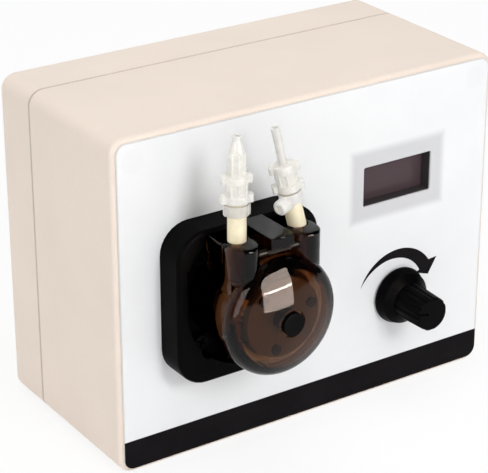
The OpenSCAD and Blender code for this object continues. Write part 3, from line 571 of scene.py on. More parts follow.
class PumpCaseSettings(bpy.types.PropertyGroup):
    """Case, film and print."""

    cream: colour_prop("Case colour", "Colour of the moulded case", (0.796, 0.690, 0.604))
    groove: length_prop("Parting groove", "Width and depth of the groove between the shells", 0.4)
    white: colour_prop("Film white", "Ground colour of the front film", (0.86, 0.865, 0.875))
    ink: colour_prop("Print black", "Colour of the band and the arrow", (0.0075, 0.0066, 0.0075))
    band_top: length_prop("Band height", "Top of the printed band above the bottom", 9.16)
    print_t: length_prop("Print thickness", "Thickness of the printed ink", 0.04)
    patch_tone: colour_prop("Patch tone", "Grey of the patch over the display", (0.53, 0.53, 0.55))
    patch_strength: number_prop(
        "Patch strength", "How strongly the patch shows", 0.62, subtype="FACTOR", min=0.0, max=1.0
    )
    patch_size: pair_prop("Patch size", "Width and height of the patch", (30.7, 20.5))
    patch_height: length_prop("Patch height", "Height of the patch's middle", 61.25)
    boss_offset: length_prop("Boss offset", "Faint bosses from the middle", 51.9)
    boss_heights: pair_prop("Boss heights", "Heights of the faint bosses", (84.0, 5.8))


class PumpDisplaySettings(bpy.types.PropertyGroup):
    """Display window."""

    window_size: pair_prop("Window size", "Width and height of the window", (21.7, 10.9))
    window_height: length_prop("Window height", "Height of the window's middle", WINDOW_Z / MM)
    glass_tone: colour_prop("Glass tone", "Colour of the unlit display", (0.106, 0.072, 0.081))
    # Colour of the painted shade near the window's rim.
    glass_rim_shade: colour_prop("Glass rim", "Colour of the display near its rim", (0.090, 0.066, 0.072))


class PumpKnobSettings(bpy.types.PropertyGroup):
    """Speed knob."""

    black: colour_prop("Knob black", "Colour of the knob", (0.0017, 0.0016, 0.0018))
    edge: length_prop("Edge", "Rounding of the knob's edges", 0.2)


class PumpHeadSettings(bpy.types.PropertyGroup):
    """Pump base, head, tube and fittings."""

    black: colour_prop("Base black", "Colour of the base", (0.0018, 0.0017, 0.0018))
    smoke: colour_prop("Smoke body", "Colour that the depth lets through", (0.684, 0.553, 0.421))
    tint: colour_prop("Smoke tint", "Light that one surface lets through", (0.56, 0.46, 0.385))
    cream: colour_prop("Tube colour", "Colour of the soft tube", (0.90, 0.80, 0.57))
    milk: colour_prop("Fitting colour", "Colour of the hose fittings", (0.90, 0.88, 0.83))
    rotor: colour_prop("Rotor colour", "Colour of the rotor", (0.125, 0.094, 0.062))
    tube_r: length_prop("Tube radius", "Outer radius of the tube", 2.3)
    wall: length_prop("Tube wall", "Wall of the tube", 0.9)
    track_r: length_prop("Squeezed radius", "Radius of the squeezed tube's middle", 11.65)
    port_x: length_prop("Port distance", "Distance of a port from the pump's axis", 8.8)
    plane: length_prop("Tube plane", "Height of the tube's plane above the film", 16.1)
    lift_y: length_prop("Lift", "Height at which the tube is round again", 11.0)
    hose_y: length_prop("Port mouth", "Height at which the tube leaves the port", 19.6)
    free: length_prop("Free end", "Length of the tube above the ports", 10.0)
    port_edge: length_prop("Port edge", "Rounding of the ports' top edges", 0.8)
    drop: length_prop("Shorter end", "By how much the leaning end is shorter", 0.5)
    bend_r: length_prop("Bend radius", "Radius of the bend in the leaning end", 6.0)
    lean: angle_prop("Lean", "Lean of the right-hand tube end", 12.5)
    lean_turn: angle_prop("Lean direction", "Turned from the right towards the case", 163.0)


class PumpStageSettings(bpy.types.PropertyGroup):
    """Camera and light."""

    azimuth: angle_prop("Azimuth", "Direction of the camera, from the front to the right", -33.58)
    elevation: angle_prop("Elevation", "Height of the camera above the horizon", 24.58)
    roll: angle_prop("Roll", "Turn of the picture", -0.12)
    distance: number_prop("Distance", "From the camera to its target", 0.5283, unit="LENGTH")
    target: bpy.props.FloatVectorProperty(
        name="Target",
        description="Point in the middle of the picture",
        default=(-0.00141, 0.00075, 0.04097),
        subtype="TRANSLATION",
        unit="LENGTH",
        precision=5,
    )
    lens: number_prop("Lens", "Focal length for a 36 mm wide picture, mm", 145.91)
    ambient: number_prop("Ambient", "Strength of the light from all around", 0.55)
    key: number_prop("Key", "Power of the key light", 4.9, unit="POWER")
    fill: number_prop("Fill", "Power of the fill light", 1.9, unit="POWER")
    top: number_prop("Top", "Power of the top light", 2.8, unit="POWER")
    gloss: number_prop("Gloss", "Brightness of the softboxes that polished pieces reflect", 24.0)
    room: number_prop("Room", "Brightness of the dark room in front, as gloss reflects it", 0.04)


# ---- Geometry trees ----


class Geometry:
    """A geometry tree in the making, with named inputs for its sizes."""

    kinds = {int: "NodeSocketInt", float: "NodeSocketFloat", tuple: "NodeSocketVector"}

    def __init__(self, name, inputs):
        self.tree = bpy.data.node_groups.new(name, "GeometryNodeTree")
        for label, default in inputs.items():
            socket = self.tree.interface.new_socket(
                name=label, in_out="INPUT", socket_type=self.kinds[type(default)]
            )
            socket.default_value = default
        self.tree.interface.new_socket(
            name="Geometry", in_out="OUTPUT", socket_type="NodeSocketGeometry"
        )
        self.given = self.tree.nodes.new("NodeGroupInput")

    def value(self, label):
        return self.given.outputs[label]

    def node(self, kind, settings=None, inputs=None, output=0):
        return add_node(self.tree, kind, settings, inputs).outputs[output]

    def times(self, first, second):
        return self.node("ShaderNodeMath", {"operation": "MULTIPLY"}, {0: first, 1: second})

    def vector(self, x=0.0, y=0.0, z=0.0):
        return self.node("ShaderNodeCombineXYZ", None, {"X": x, "Y": y, "Z": z})

    def rotation(self, angles):
        return self.node("FunctionNodeEulerToRotation", None, {0: angles})

    def placed(self, geometry, offset, angles=(0.0, 0.0, 0.0)):
        inputs = {"Geometry": geometry, "Translation": offset, "Rotation": self.rotation(angles)}
        return self.node("GeometryNodeTransform", None, inputs)

    def joined(self, parts):
        join = self.tree.nodes.new("GeometryNodeJoinGeometry")
        for part in parts:
            self.tree.links.new(part, join.inputs[0])
        return join.outputs[0]

    def finish(self, geometry, material):
        """Ends the tree in real geometry that carries a material."""
        real = self.node("GeometryNodeRealizeInstances", None, {0: geometry})
        inputs = {"Geometry": real, "Material": material}
        painted = self.node("GeometryNodeSetMaterial", None, inputs)
        add_node(self.tree, "NodeGroupOutput", None, {0: painted})
        return self

    def grow(self, node, values, material, crease):
        """Runs the tree with its named inputs and replaces a solid with the mesh that it gives."""
        name = node + "_grown"
        seed = bpy.data.objects.new(name + "_seed", bpy.data.meshes.new(name + "_seed"))
        bpy.context.scene.collection.objects.link(seed)
        modifier = seed.modifiers.new("Grow", "NODES")
        modifier.node_group = self.tree
        for item in self.tree.interface.items_tree:
            if item.item_type == "SOCKET" and item.in_out == "INPUT" and item.name in values:
                modifier[item.identifier] = values[item.name]
        depsgraph = bpy.context.evaluated_depsgraph_get()
        mesh = bpy.data.meshes.new_from_object(seed.evaluated_get(depsgraph), depsgraph=depsgraph)
        mesh.name = name
        seed.modifiers.remove(modifier)
        bpy.data.objects.remove(seed)
        smooth_by_angle(mesh, crease)
        return stand_in(node, name, mesh, material)


def cross_screws(material):
    """Tree for four cross-head screws at the corners of a rectangle."""
    none = (0.0, 0.0, 0.0)
    sizes = {"Width": 0.1, "Height": 0.07, "Head radius": 0.0027, "Head height": 0.002}
    sizes.update({"Shank radius": 0.0015, "Shank length": 0.02})
    tree = Geometry("cross_screws", {**sizes, "Facing": none, "Place": none, "Seed": 7})
    head_r, head_h = tree.value("Head radius"), tree.value("Head height")
    cone = {"Vertices": 40, "Depth": head_h}
    cone.update({"Radius Top": tree.times(head_r, 0.84), "Radius Bottom": head_r})
    head = tree.node("GeometryNodeMeshCone", None, cone)
    size = tree.vector(tree.times(head_r, 1.16), tree.times(head_r, 0.24), head_h)
    bar = tree.node("GeometryNodeMeshCube", None, {"Size": size})
    for turn in (0.0, math.pi / 2):
        blade = tree.placed(bar, tree.vector(z=head_h), (0.0, 0.0, turn))
        cut = {"Mesh 1": head, "Mesh 2": blade}
        head = tree.node("GeometryNodeMeshBoolean", {"operation": "DIFFERENCE"}, cut)
    depth = tree.value("Shank length")
    rod = {"Vertices": 28, "Radius": tree.value("Shank radius"), "Depth": depth}
    shank = tree.node("GeometryNodeMeshCylinder", None, rod)
    shank = tree.placed(shank, tree.vector(z=tree.times(depth, -0.4999)))
    grid = {"Size X": tree.value("Width"), "Size Y": tree.value("Height")}
    grid.update({"Vertices X": 2, "Vertices Y": 2})
    corners = tree.node("GeometryNodeMeshGrid", None, grid)
    draw = {"Min_001": 0.0, "Max_001": math.pi / 2, "Seed": tree.value("Seed")}
    turn = tree.node("FunctionNodeRandomValue", {"data_type": "FLOAT"}, draw, 1)
    copies = {"Points": corners, "Instance": tree.joined((head, shank))}
    copies["Rotation"] = tree.rotation(tree.vector(z=turn))
    screws = tree.node("GeometryNodeInstanceOnPoints", None, copies)
    return tree.finish(tree.placed(screws, tree.value("Place"), tree.value("Facing")), material)


def wire_loom(name, count, material):
    """Tree for wires side by side, each along a curve between two rows of ends."""
    none = (0.0, 0.0, 0.0)
    labels = ("Start", "Start step", "Start handle", "End", "End step", "End handle")
    tree = Geometry(name, {"Radius": 0.0006, **{label: none for label in labels}})

    def spot(end, index):
        scaled = {"Vector": tree.value(end + " step"), "Scale": float(index)}
        step = tree.node("ShaderNodeVectorMath", {"operation": "SCALE"}, scaled)
        return tree.node("ShaderNodeVectorMath", None, {0: tree.value(end), 1: step})

    def route(index):
        ends = {"Start": spot("Start", index), "End": spot("End", index), "Resolution": 32}
        ends["Start Handle"] = tree.value("Start handle")
        ends["End Handle"] = tree.value("End handle")
        return tree.node("GeometryNodeCurvePrimitiveBezierSegment", {"mode": "OFFSET"}, ends)

    circle = {"Resolution": 12, "Radius": tree.value("Radius")}
    section = tree.node("GeometryNodeCurvePrimitiveCircle", None, circle)
    sweep = {"Curve": tree.joined([route(index) for index in range(count)]), "Fill Caps": True}
    sweep["Profile Curve"] = section
    return tree.finish(tree.node("GeometryNodeCurveToMesh", None, sweep), material)


# ---- Case and print ----


def grooved_shell(node, name, material, width, profile):
    """A shell whose edge at the parting line is rounded or notched, so that a groove shows."""
    work = merged_work(node)
    low = Vector([min(v.co[i] for v in work.verts) for i in range(3)])
    high = Vector([max(v.co[i] for v in work.verts) for i in range(3)])
    corner, slack = 4.2 * MM, 0.02 * MM

    def outer(v):
        if abs(v.co.y - PARTING_Y) > slack:
            return False
        near_side = min(v.co.x - low.x, high.x - v.co.x)
        near_end = min(v.co.z - low.z, high.z - v.co.z)
        if min(near_side, near_end) < slack:
            return True
        away = math.hypot(corner - near_side, corner - near_end)
        return near_side < corner and near_end < corner and away > corner - 0.6 * MM

    rim = [e for e in work.edges if all(outer(v) for v in e.verts) and len(e.link_faces) == 2]
    bmesh.ops.bevel(
        work, geom=rim, offset=width * MM, segments=2, profile=profile, affect="EDGES"
    )
    mesh = mesh_from(work, name)
    smooth_by_angle(mesh, CREASE)
    piece = stand_in(node, name, mesh, material)
    even = piece.modifiers.new("Even shading", "WEIGHTED_NORMAL")
    even.keep_sharp = True
    return piece


class PUMP_OT_case(bpy.types.Operator):
    """Cream shells with a groove between them"""

    bl_idname = "pump.case"
    bl_label = "Case"

    def execute(self, context):
        look = context.scene.pump_case
        # Width of the painted shade in the parting groove, a little wider than the groove itself.
        groove_shade_width = look.groove + 0.02
        cream = moulded_plastic("case_cream", look.cream, 0.5, 2.6, 0.012, 0.025, 1.42, groove_shade_width)
        grooved_shell("front_shell", "case_front", cream, look.groove, 0.0)
        grooved_shell("rear_shell", "case_back", cream, look.groove * 0.7, 0.5)
        return {"FINISHED"}


def band_outline(look):
    """Outline of the printed band: the film's lower corners and a straight top."""
    low_x, high_x = FILM_LOW.x / MM, FILM_HIGH.x / MM
    level = FILM_LOW.z / MM + FILM_CORNER
    points = [(high_x, look.band_top), (low_x, look.band_top)]
    for centre, start in ((low_x + FILM_CORNER, 180), (high_x - FILM_CORNER, 270)):
        for share in shares(8):
            dx, dz = polar(FILM_CORNER, start + 90 * share)
            points.append((centre + dx, level + dz))
    return points


def arrow_outline():
    """Outline of the arrow around the knob: an arc that widens into a head."""
    tail, neck = 159.0, 36.0
    outer, inner = [], []
    for share in shares(32):
        angle = between(tail, neck, share)
        radius = 13.2 - 0.6 * share**3
        outer.append(polar(radius, angle))
        inner.append(polar(radius - 3.75 * (1 - (1 - share) ** 1.4), angle))
    head = [polar(15.02, 30.9), polar(10.64, 17.1), polar(7.51, 37.2)]
    return outer + head + list(reversed(inner[1:]))


class PUMP_OT_film(bpy.types.Operator):
    """White front film with a printed band and a turning arrow"""

    bl_idname = "pump.film"
    bl_label = "Film and print"

    def execute(self, context):
        look = context.scene.pump_case
        softened("front_film", "film", film_finish(look), 0.1)
        ink = print_ink("print_black", look.ink, 0.32)
        band = slab("band", band_outline(look), look.print_t, from_film)
        object_from("printed_band", band, ink, "pump", "printed_film")
        arrow = slab("arrow", arrow_outline(), look.print_t, from_knob)
        object_from("printed_arrow", arrow, ink, "pump", "printed_film")
        return {"FINISHED"}


# ---- Display ----


class PUMP_OT_display(bpy.types.Operator):
    """Display window: dark glass behind a black bezel, and its board"""

    bl_idname = "pump.display"
    bl_label = "Display"

    def execute(self, context):
        look = context.scene.pump_display
        softened("display_panel", "window_glass", window_glass(look), 0.08)
        bezel = moulded_plastic("bezel_black", (0.052, 0.047, 0.049), 0.4, 2.0, 0.01, 0.1)
        softened("display_bezel", "window_bezel", bezel, 0.15)
        softened("display_board", "display_card", solder_mask("blue_mask", (0.01, 0.03, 0.11)), 0.1)
        return {"FINISHED"}


# ---- Speed knob ----


class PUMP_OT_knob(bpy.types.Operator):
    """Fluted speed knob with a pointer notch"""

    bl_idname = "pump.knob"
    bl_label = "Speed knob"

    def execute(self, context):
        look = context.scene.pump_knob
        black = moulded_plastic("knob_black", look.black, 0.34, 1.6, 0.012, 0.12, 1.1)
        softened("speed_knob", "knob", black, look.edge, 30.0, 3)
        return {"FINISHED"}


# ---- Pump head ----


def rounded_ports(work):
    """Rounds the top edges of the two ports, but not the rims of their channels."""
    crown = max(v.co.z for v in work.verts)
    look = bpy.context.scene.pump_head

    def outer(v):
        beside = abs(abs(v.co.x - PUMP_X) - look.port_x * MM)
        ahead = FRONT_Y - look.plane * MM - v.co.y
        beyond = math.hypot(beside, ahead) > (look.tube_r + 0.5) * MM
        return beyond and abs(v.co.z - crown) < 0.01 * MM

    rim = [e for e in work.edges if all(outer(v) for v in e.verts) and not e.is_boundary]
    rim = [e for e in rim if any(abs(f.normal.z) < 0.5 for f in e.link_faces)]
    round_r = look.port_edge * MM
    bmesh.ops.bevel(work, geom=rim, offset=round_r, segments=4, profile=0.5, affect="EDGES")


class PUMP_OT_head(bpy.types.Operator):
    """Black base, smoked housing and release latch"""

    bl_idname = "pump.head"
    bl_label = "Pump head"

    def execute(self, context):
        look = context.scene.pump_head
        black = moulded_plastic("base_black", look.black, 0.42, 1.8, 0.015, 0.15, 1.08)
        softened("pump_base", "head_base", black, 0.35, 40.0, 3)
        smoke = smoked_plastic("smoked_brown", look.smoke, look.tint)
        softened("pump_housing", "head_housing", smoke, 0.18, 40.0, 3, before=rounded_ports)
        latch = softened("release_latch", "head_latch", smoke, 0.25, 40.0, 3)
        latch.modifiers.new("Even faces", "TRIANGULATE")
        softened("head_plate", "head_back_plate", black, 0.2)
        return {"FINISHED"}


class PUMP_OT_rotor(bpy.types.Operator):
    """Rotor with its plates, rollers, pins and nose"""

    bl_idname = "pump.rotor"
    bl_label = "Rotor"

    def execute(self, context):
        look = context.scene.pump_head
        pale = moulded_plastic("rotor_pale", look.rotor, 0.45, 1.5, 0.01, 0.06)
        dark = moulded_plastic("nose_black", look.black, 0.3, 1.5, 0.01, 0.1, 1.12)
        pin = moulded_plastic("pin_dark", (0.010, 0.0075, 0.006), 0.3, 1.5, 0.01, 0.1, 1.3)
        for node in ("rotor", "rotor_front_plate", "roller_1", "roller_2", "roller_3"):
            softened(node, node + "_soft", pale, 0.2)
        softened("rotor_nose", "nose", dark, 0.35, 40.0, 3)
        softened("roller_pins", "pins", pin, 0.1)
        softened("latch_pin", "latch_hinge", pin, 0.1)
        return {"FINISHED"}


# ---- Tube and fittings ----


def tube_stations(look):
    """Place, direction and squeeze for each ring of the tube, in millimetres from the pump."""
    stations = []
    down, up = Vector((0, -1, 0)), Vector((0, 1, 0))
    top = look.hose_y + look.free
    squeezed = (155.0, 385.0)
    free_steps, lead_steps, band_steps, bend_steps = 8, 7, 46, 5

    def add(x, y, heading, squeeze, z=look.plane):
        stations.append((Vector((x, y, z)), heading, squeeze))

    def lead(first, last, heading, start, end):
        """Rings from a port to the squeezed band, or back."""
        for share in shares(lead_steps, 1)[:-1]:
            soft = share * share * (3 - 2 * share)
            x, y = between(first[0], last[0], soft), between(first[1], last[1], share)
            add(x, y, heading, between(start, end, soft))

    for share in shares(free_steps):
        add(-look.port_x, between(top, look.lift_y, share), down, 0.0)
    ends = [polar(look.track_r, angle) for angle in squeezed]
    lead((-look.port_x, look.lift_y), ends[0], down, 0.0, 1.0)
    for share in shares(band_steps):
        turn = between(*squeezed, share)
        add(*polar(look.track_r, turn), Vector((*polar(1.0, turn + 90), 0)), 1.0)
    lead(ends[1], (look.port_x, look.lift_y), up, 1.0, 0.0)
    bend_start = look.hose_y - look.bend_r * math.sin(look.lean)
    for share in shares(free_steps // 2):
        add(look.port_x, between(look.lift_y, bend_start, share), up, 0.0)
    side = Vector((math.cos(look.lean_turn), 0, -math.sin(look.lean_turn)))
    base = Vector((look.port_x, bend_start, look.plane))
    for share in shares(bend_steps, 1):
        turn = look.lean * share
        spot = base + (side * (1 - math.cos(turn)) + up * math.sin(turn)) * look.bend_r
        heading = up * math.cos(turn) + side * math.sin(turn)
        add(spot.x, spot.y, heading, 0.0, spot.z)
    for share in shares(bend_steps, 1):
        tip = spot + heading * (look.free - look.drop) * share
        add(tip.x, tip.y, heading, 0.0, tip.z)
    return stations


def tube_ring(look, place, heading, squeeze, radius, sides=32):
    """One ring of the tube: round where it runs free, a flat band where it is squeezed."""
    flat_half = look.wall
    wide_half = math.pi * (look.tube_r - look.wall / 2) / 2 + look.wall / 2
    across = heading.cross(Vector((0, 0, 1))).normalized()
    outward = across.cross(heading).normalized()
    ring = []
    for i in range(sides):
        c, s = polar(1.0, 360 * i / sides)
        reach = (wide_half - flat_half) * max(-1, min(1, 1.6 * s)) + flat_half * s
        a = between(radius * c, flat_half * c, squeeze)
        b = between(radius * s, reach, squeeze)
        ring.append(from_pump(*(place + across * a + outward * b)))
    return ring


def tube_mesh(look):
    """The whole tube, with a short open bore at each end."""
    outer, inner = look.tube_r, look.tube_r - look.wall
    edge, depth = 0.12, 6.6
    steps = ((depth, inner), (0.0, inner), (0.0, outer - edge), (edge, outer))
    stations = tube_stations(look)
    (first, out, _), (last, away, _) = stations[0], stations[-1]
    rings = [(first + out * inward, out, 0.0, radius) for inward, radius in steps]
    rings += [(*station, outer) for station in stations[1:-1]]
    rings += [(last - away * inward, away, 0.0, radius) for inward, radius in reversed(steps)]
    mesh = ring_mesh("tube", [tube_ring(look, *ring) for ring in rings])
    smooth_by_angle(mesh, 40)
    return mesh


class PUMP_OT_tube(bpy.types.Operator):
    """Soft tube round the rollers, its hose fittings and spring clips"""

    bl_idname = "pump.tube"
    bl_label = "Tube and fittings"

    def execute(self, context):
        look = context.scene.pump_head
        rubber = soft_tube("tube_cream", look.cream)
        piece = object_from("tube_loop", tube_mesh(look), rubber, "pump", "tube_rubber")
        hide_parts("pump_tube")
        milk = milky_plastic("fitting_milk", look.milk, 0.78)
        white = milky_plastic("clip_white", shade(look.milk, 1.02)[:3], 0.8)
        clear = milky_plastic("clip_clear", look.milk, 0.5)
        moulded("connector_left", "fitting_left", milk, 0.11)
        moulded("connector_right", "fitting_right", milk, 0.11)
        moulded("clip_left", "spring_clip_left", clear, 0.09)
        moulded("clip_right", "spring_clip_right", white, 0.09)
        return {"FINISHED"}


# ---- Inside and back ----

# Machine screws: radius, head radius and head height, mm
M2 = (1.0, 1.9, 1.3)
M25 = (1.25, 2.25, 1.8)
M3 = (1.5, 2.7, 2.0)

# Wires from the board: solid, colour, count, and the height of the handle over their ends, mm
LOOMS = (
    ("motor_wires", (0.42, 0.02, 0.02), 4, 6),
    ("display_wires", (0.75, 0.2, 0.02), 4, 12),
    ("knob_wires", (0.7, 0.5, 0.03), 3, 12),
    ("power_wires", (0.3, 0.01, 0.01), 2, 6),
)
# Their first starts, steps between starts, ways they leave and first ends: right, up and out, mm
ROUTES = (
    ((-10.3, 40.5, -32), (0, 3, 0), (7, 0, 0), (-3, 32, -39.5)),
    ((24.2, 72.7, -6.5), (2, 0, 0), (0, 0, -12), (23, 65, -39.5)),
    ((24.5, 16.4, -7), (4, 0, 0), (0, 0, -14), (34, 52, -39.5)),
    ((36, 14.5, -44.5), (0, 3, 0), (0, 0, 8), (23, 31, -39.5)),
)


class PUMP_OT_inside(bpy.types.Operator):
    """Motor, boards, wires, screws and the power socket"""

    bl_idname = "pump.inside"
    bl_label = "Inside and back"

    def execute(self, context):
        cast = brushed_metal("bell_aluminium", (0.62, 0.63, 0.64), 0.45, (1, 1, 1), 0.03)
        stack = brushed_metal("stator_stack", (0.10, 0.10, 0.11), 0.5, (0.1, 6.0, 0.1), 0.05, 0.6)
        steel = brushed_metal("plated_steel", (0.66, 0.66, 0.65), 0.28, (0.3, 1, 0.3))
        screw = brushed_metal("screw_zinc", (0.50, 0.50, 0.51), 0.3, (1, 0.3, 1))
        blacked = moulded_plastic("screw_black", (0.003, 0.003, 0.003), 0.5, 2.0, 0.01, 0.1, 1.1)
        board = solder_mask("green_mask", (0.01, 0.075, 0.03))
        chip = moulded_plastic("chip_black", (0.02, 0.02, 0.021), 0.5, 3.0, 0.01, 0.1)
        sleeve = moulded_plastic("sleeve_blue", (0.02, 0.03, 0.07), 0.3, 1.0, 0.004, 0.05)
        nylon = moulded_plastic("socket_nylon", (0.80, 0.77, 0.68), 0.4, 2.0, 0.008, 0.04)
        jack = moulded_plastic("jack_black", (0.012, 0.012, 0.012), 0.4, 2.0, 0.012, 0.1)
        groups = (
            (cast, ("motor_front_bell", "motor_rear_bell", "driver_heatsink"), 0.3),
            (stack, ("motor_stator", "motor_core"), 0.15),
            (steel, ("motor_bearings", "motor_shaft", "knob_shaft", "control_nut"), 0.15),
            (steel, ("control_washer", "speed_control", "jack_nut", "jack_pin"), 0.15),
            (board, ("controller_board",), 0.1),
            (chip, ("board_chips",), 0.12),
            (sleeve, ("board_capacitors",), 0.5),
            (nylon, ("wire_sockets",), 0.2),
            (jack, ("power_jack",), 0.25),
        )
        for material, nodes, bevel in groups:
            for node in nodes:
                softened(node, node + "_soft", material, bevel)
        self.screws((("case_screws", M3, 1), ("board_screws", M2, 1)), screw)
        self.screws((("motor_screws", M25, -1), ("display_screws", M2, -1)), screw)
        self.screws((("base_screws", M25, 1),), blacked)
        for (node, colour, count, arrive), route in zip(LOOMS, ROUTES):
            start, step, leave, end = route
            finish = moulded_plastic(node + "_sleeve", colour, 0.4, 1.2, 0.01, 0.06)
            values = {
                "Start": tuple(from_film(*start)),
                "Start step": film_way(*step),
                "Start handle": film_way(*leave),
                "End": tuple(from_film(*end)),
                "End step": film_way(2, 0, 0),
                "End handle": film_way(0, 0, arrive),
            }
            wire_loom(node + "_loom", count, finish).grow(node, values, finish, 60.0)
        return {"FINISHED"}

    def screws(self, sets, material):
        """Cross-head screws in place of plain ones; 1 is for heads towards the front."""
        tree = cross_screws(material)
        for node, (shank_r, head_r, head_h), front in sets:
            low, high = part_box(node)
            middle = (low + high) / 2
            level = low.y + head_h * MM if front > 0 else high.y - head_h * MM
            values = {
                "Width": high.x - low.x - 2 * head_r * MM,
                "Height": high.z - low.z - 2 * head_r * MM,
                "Head radius": head_r * MM,
                "Head height": head_h * MM,
                "Shank radius": shank_r * MM,
                "Shank length": high.y - low.y - head_h * MM,
                "Facing": (front * math.pi / 2, 0.0, 0.0),
                "Place": (middle.x, level, middle.z),
            }
            tree.grow(node, values, material, 30.0)


# ---- Stage ----


def direction(azimuth, elevation):
    """A direction turned from the front to the right, then raised; both angles in radians."""
    flat = math.cos(elevation)
    return Vector((math.sin(azimuth) * flat, -math.cos(azimuth) * flat, math.sin(elevation)))


def camera_place(look):
    """The camera's place and turn from its angles."""
    back = direction(look.azimuth, look.elevation)
    right = (-back).cross(Vector((0, 0, 1))).normalized()
    up = right.cross(-back)
    across = right * math.cos(look.roll) + up * math.sin(look.roll)
    upward = up * math.cos(look.roll) - right * math.sin(look.roll)
    turn = Matrix((across, upward, back)).transposed().to_4x4()
    return Matrix.Translation(Vector(look.target) + back * look.distance) @ turn


def beam_place(azimuth, elevation, distance):
    """A place in a direction from the pump, in degrees."""
    way = direction(math.radians(azimuth), math.radians(elevation))
    return way * distance + Vector((0, 0, PUMP_Z))


def area_light(name, place, size, power, lights):
    """A soft rectangular lamp that faces the pump, and either lights it or shows in its gloss."""
    data = bpy.data.lights.new(name, "AREA")
    data.shape = "RECTANGLE"
    data.size, data.size_y = size
    data.energy = power
    lamp = bpy.data.objects.new(name, data)
    lamp.location = place
    lamp.rotation_mode = "QUATERNION"
    lamp.rotation_quaternion = (Vector((0, 0, PUMP_Z)) - place).to_track_quat("-Z", "Y")
    lamp.visible_glossy = not lights
    lamp.visible_transmission = False
    lamp.visible_camera = False
    lamp.visible_diffuse = lights
    bpy.context.scene.collection.objects.link(lamp)
    return lamp


def softbox(name, way, angles, distance, radiance, colour):
    """A lamp of a given brightness that only polished surfaces show; its sizes are in degrees."""
    size = [2 * distance * math.tan(math.radians(part / 2)) for part in angles]
    power = radiance * math.pi * size[0] * size[1]
    area_light(name, beam_place(*way, distance), size, power, False).data.color = colour


def seen_directly(finish):
    """1 where a ray comes from the camera, a gloss or a see-through surface."""
    path = add_node(finish.tree, "ShaderNodeLightPath")
    seen = Term(finish, path.outputs["Is Camera Ray"])
    for name in ("Is Glossy Ray", "Is Transmission Ray"):
        seen = (seen + path.outputs[name]).least(1.0)
    return seen


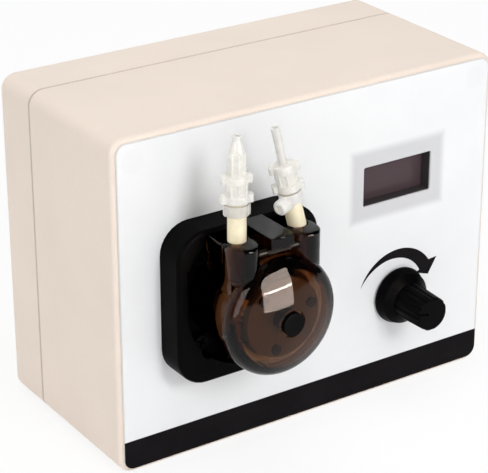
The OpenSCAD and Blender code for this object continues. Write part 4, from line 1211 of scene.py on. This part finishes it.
class PUMP_OT_stage(bpy.types.Operator):
    """Pale floor, soft light and the camera"""

    bl_idname = "pump.stage"
    bl_label = "Stage"

    def execute(self, context):
        look = context.scene.pump_stage
        self.floor()
        self.world(look)
        area_light("key", beam_place(3, 30, 1.2), (0.35, 0.35), look.key, True)
        area_light("fill", beam_place(-80, 20, 1.0), (0.6, 0.6), look.fill, True)
        area_light("top", beam_place(0, 88, 0.96), (0.6, 0.6), look.top, True)
        softbox("softbox_front", (10, 9), (28, 34), 0.3, look.gloss * 0.66, (1.0, 0.84, 0.74))
        softbox("softbox_tube", (10, 7.6), (27, 2.0), 0.28, look.gloss * 2.5, (1.0, 0.88, 0.8))
        softbox("softbox_left", (-57, 14), (38, 52), 1.2, look.gloss * 0.2, (1.0, 0.92, 0.92))
        data = bpy.data.cameras.new("camera")
        data.lens = look.lens
        data.sensor_width = 36.0
        data.clip_start, data.clip_end = 0.01, 20.0
        camera = bpy.data.objects.new("camera", data)
        camera.matrix_world = camera_place(look)
        context.scene.collection.objects.link(camera)
        context.scene.camera = camera
        context.scene.view_settings.view_transform = "Standard"
        return {"FINISHED"}

    def floor(self):
        """A wide pale floor that keeps a faint shadow."""
        finish = Finish("floor_white")
        cloud = finish.noise(0.004, 2.0)
        tone = finish.blend(cloud, (0.93, 0.93, 0.93, 1), (0.96, 0.96, 0.96, 1))
        matt = finish.node("BsdfDiffuse", None, {"Color": tone})
        white = finish.node("Emission", None, {"Color": WHITE, "Strength": 1.0})
        finish.ended(finish.mix(seen_directly(finish) * 0.85, matt, white))
        work = bmesh.new()
        bmesh.ops.create_grid(work, x_segments=8, y_segments=8, size=4.0)
        mesh = mesh_from(work, "floor")
        mesh.materials.append(finish.material)
        floor = bpy.data.objects.new("floor", mesh)
        bpy.context.scene.collection.objects.link(floor)

    def world(self, look):
        """Even light from all around, seen as plain white; gloss shows a dark room in front."""
        world = bpy.data.worlds.new("studio")
        bpy.context.scene.world = world
        sky = Finish("studio", world)
        x, y, z = sky.parts(sky.node("TexCoord", output="Generated"))
        ahead = sky.remap(y / x.reach(y).most(0.001), 0.10, 0.25, 1.0, 0.0)
        above = sky.remap(z, -0.10, -0.04)
        shown = ahead * above * (1 - sky.node("LightPath", output="Is Camera Ray"))
        soft = sky.node("Background", None, {"Color": WHITE, "Strength": look.ambient})
        strength = 1 - shown * (1 - look.room)
        seen = sky.node("Background", None, {"Color": WHITE, "Strength": strength})
        mixed = sky.mix(seen_directly(sky), soft, seen)
        add_node(sky.tree, "ShaderNodeOutputWorld", None, {"Surface": mixed})


class PUMP_PT_panel(bpy.types.Panel):
    """The pump's pieces in the sidebar"""

    bl_idname = "PUMP_PT_panel"
    bl_label = "Peristaltic pump"
    bl_space_type = "VIEW_3D"
    bl_region_type = "UI"
    bl_category = "Pump"

    def draw(self, context):
        for operator in OPERATORS:
            self.layout.operator(operator.bl_idname)
        for name in SETTINGS:
            group = getattr(context.scene, name)
            box = self.layout.box()
            box.label(text=group.bl_rna.description)
            for key in group.bl_rna.properties.keys():
                if key not in ("rna_type", "name"):
                    box.prop(group, key)


OPERATORS = (
    PUMP_OT_case,
    PUMP_OT_film,
    PUMP_OT_display,
    PUMP_OT_knob,
    PUMP_OT_head,
    PUMP_OT_rotor,
    PUMP_OT_tube,
    PUMP_OT_inside,
    PUMP_OT_stage,
)
SETTINGS = {
    "pump_case": PumpCaseSettings,
    "pump_display": PumpDisplaySettings,
    "pump_knob": PumpKnobSettings,
    "pump_head": PumpHeadSettings,
    "pump_stage": PumpStageSettings,
}


def register():
    for name, group in SETTINGS.items():
        bpy.utils.register_class(group)
        setattr(bpy.types.Scene, name, bpy.props.PointerProperty(type=group))
    for made in (*OPERATORS, PUMP_PT_panel):
        bpy.utils.register_class(made)


def unregister():
    for made in reversed((*OPERATORS, PUMP_PT_panel)):
        bpy.utils.unregister_class(made)
    for name, group in SETTINGS.items():
        delattr(bpy.types.Scene, name)
        bpy.utils.unregister_class(group)


def main():
    register()
    bpy.ops.pump.stage()
    bpy.ops.pump.case()
    bpy.ops.pump.film()
    bpy.ops.pump.display()
    bpy.ops.pump.knob()
    bpy.ops.pump.head()
    bpy.ops.pump.rotor()
    bpy.ops.pump.tube()
    bpy.ops.pump.inside()


if __name__ == "__main__":
    main()
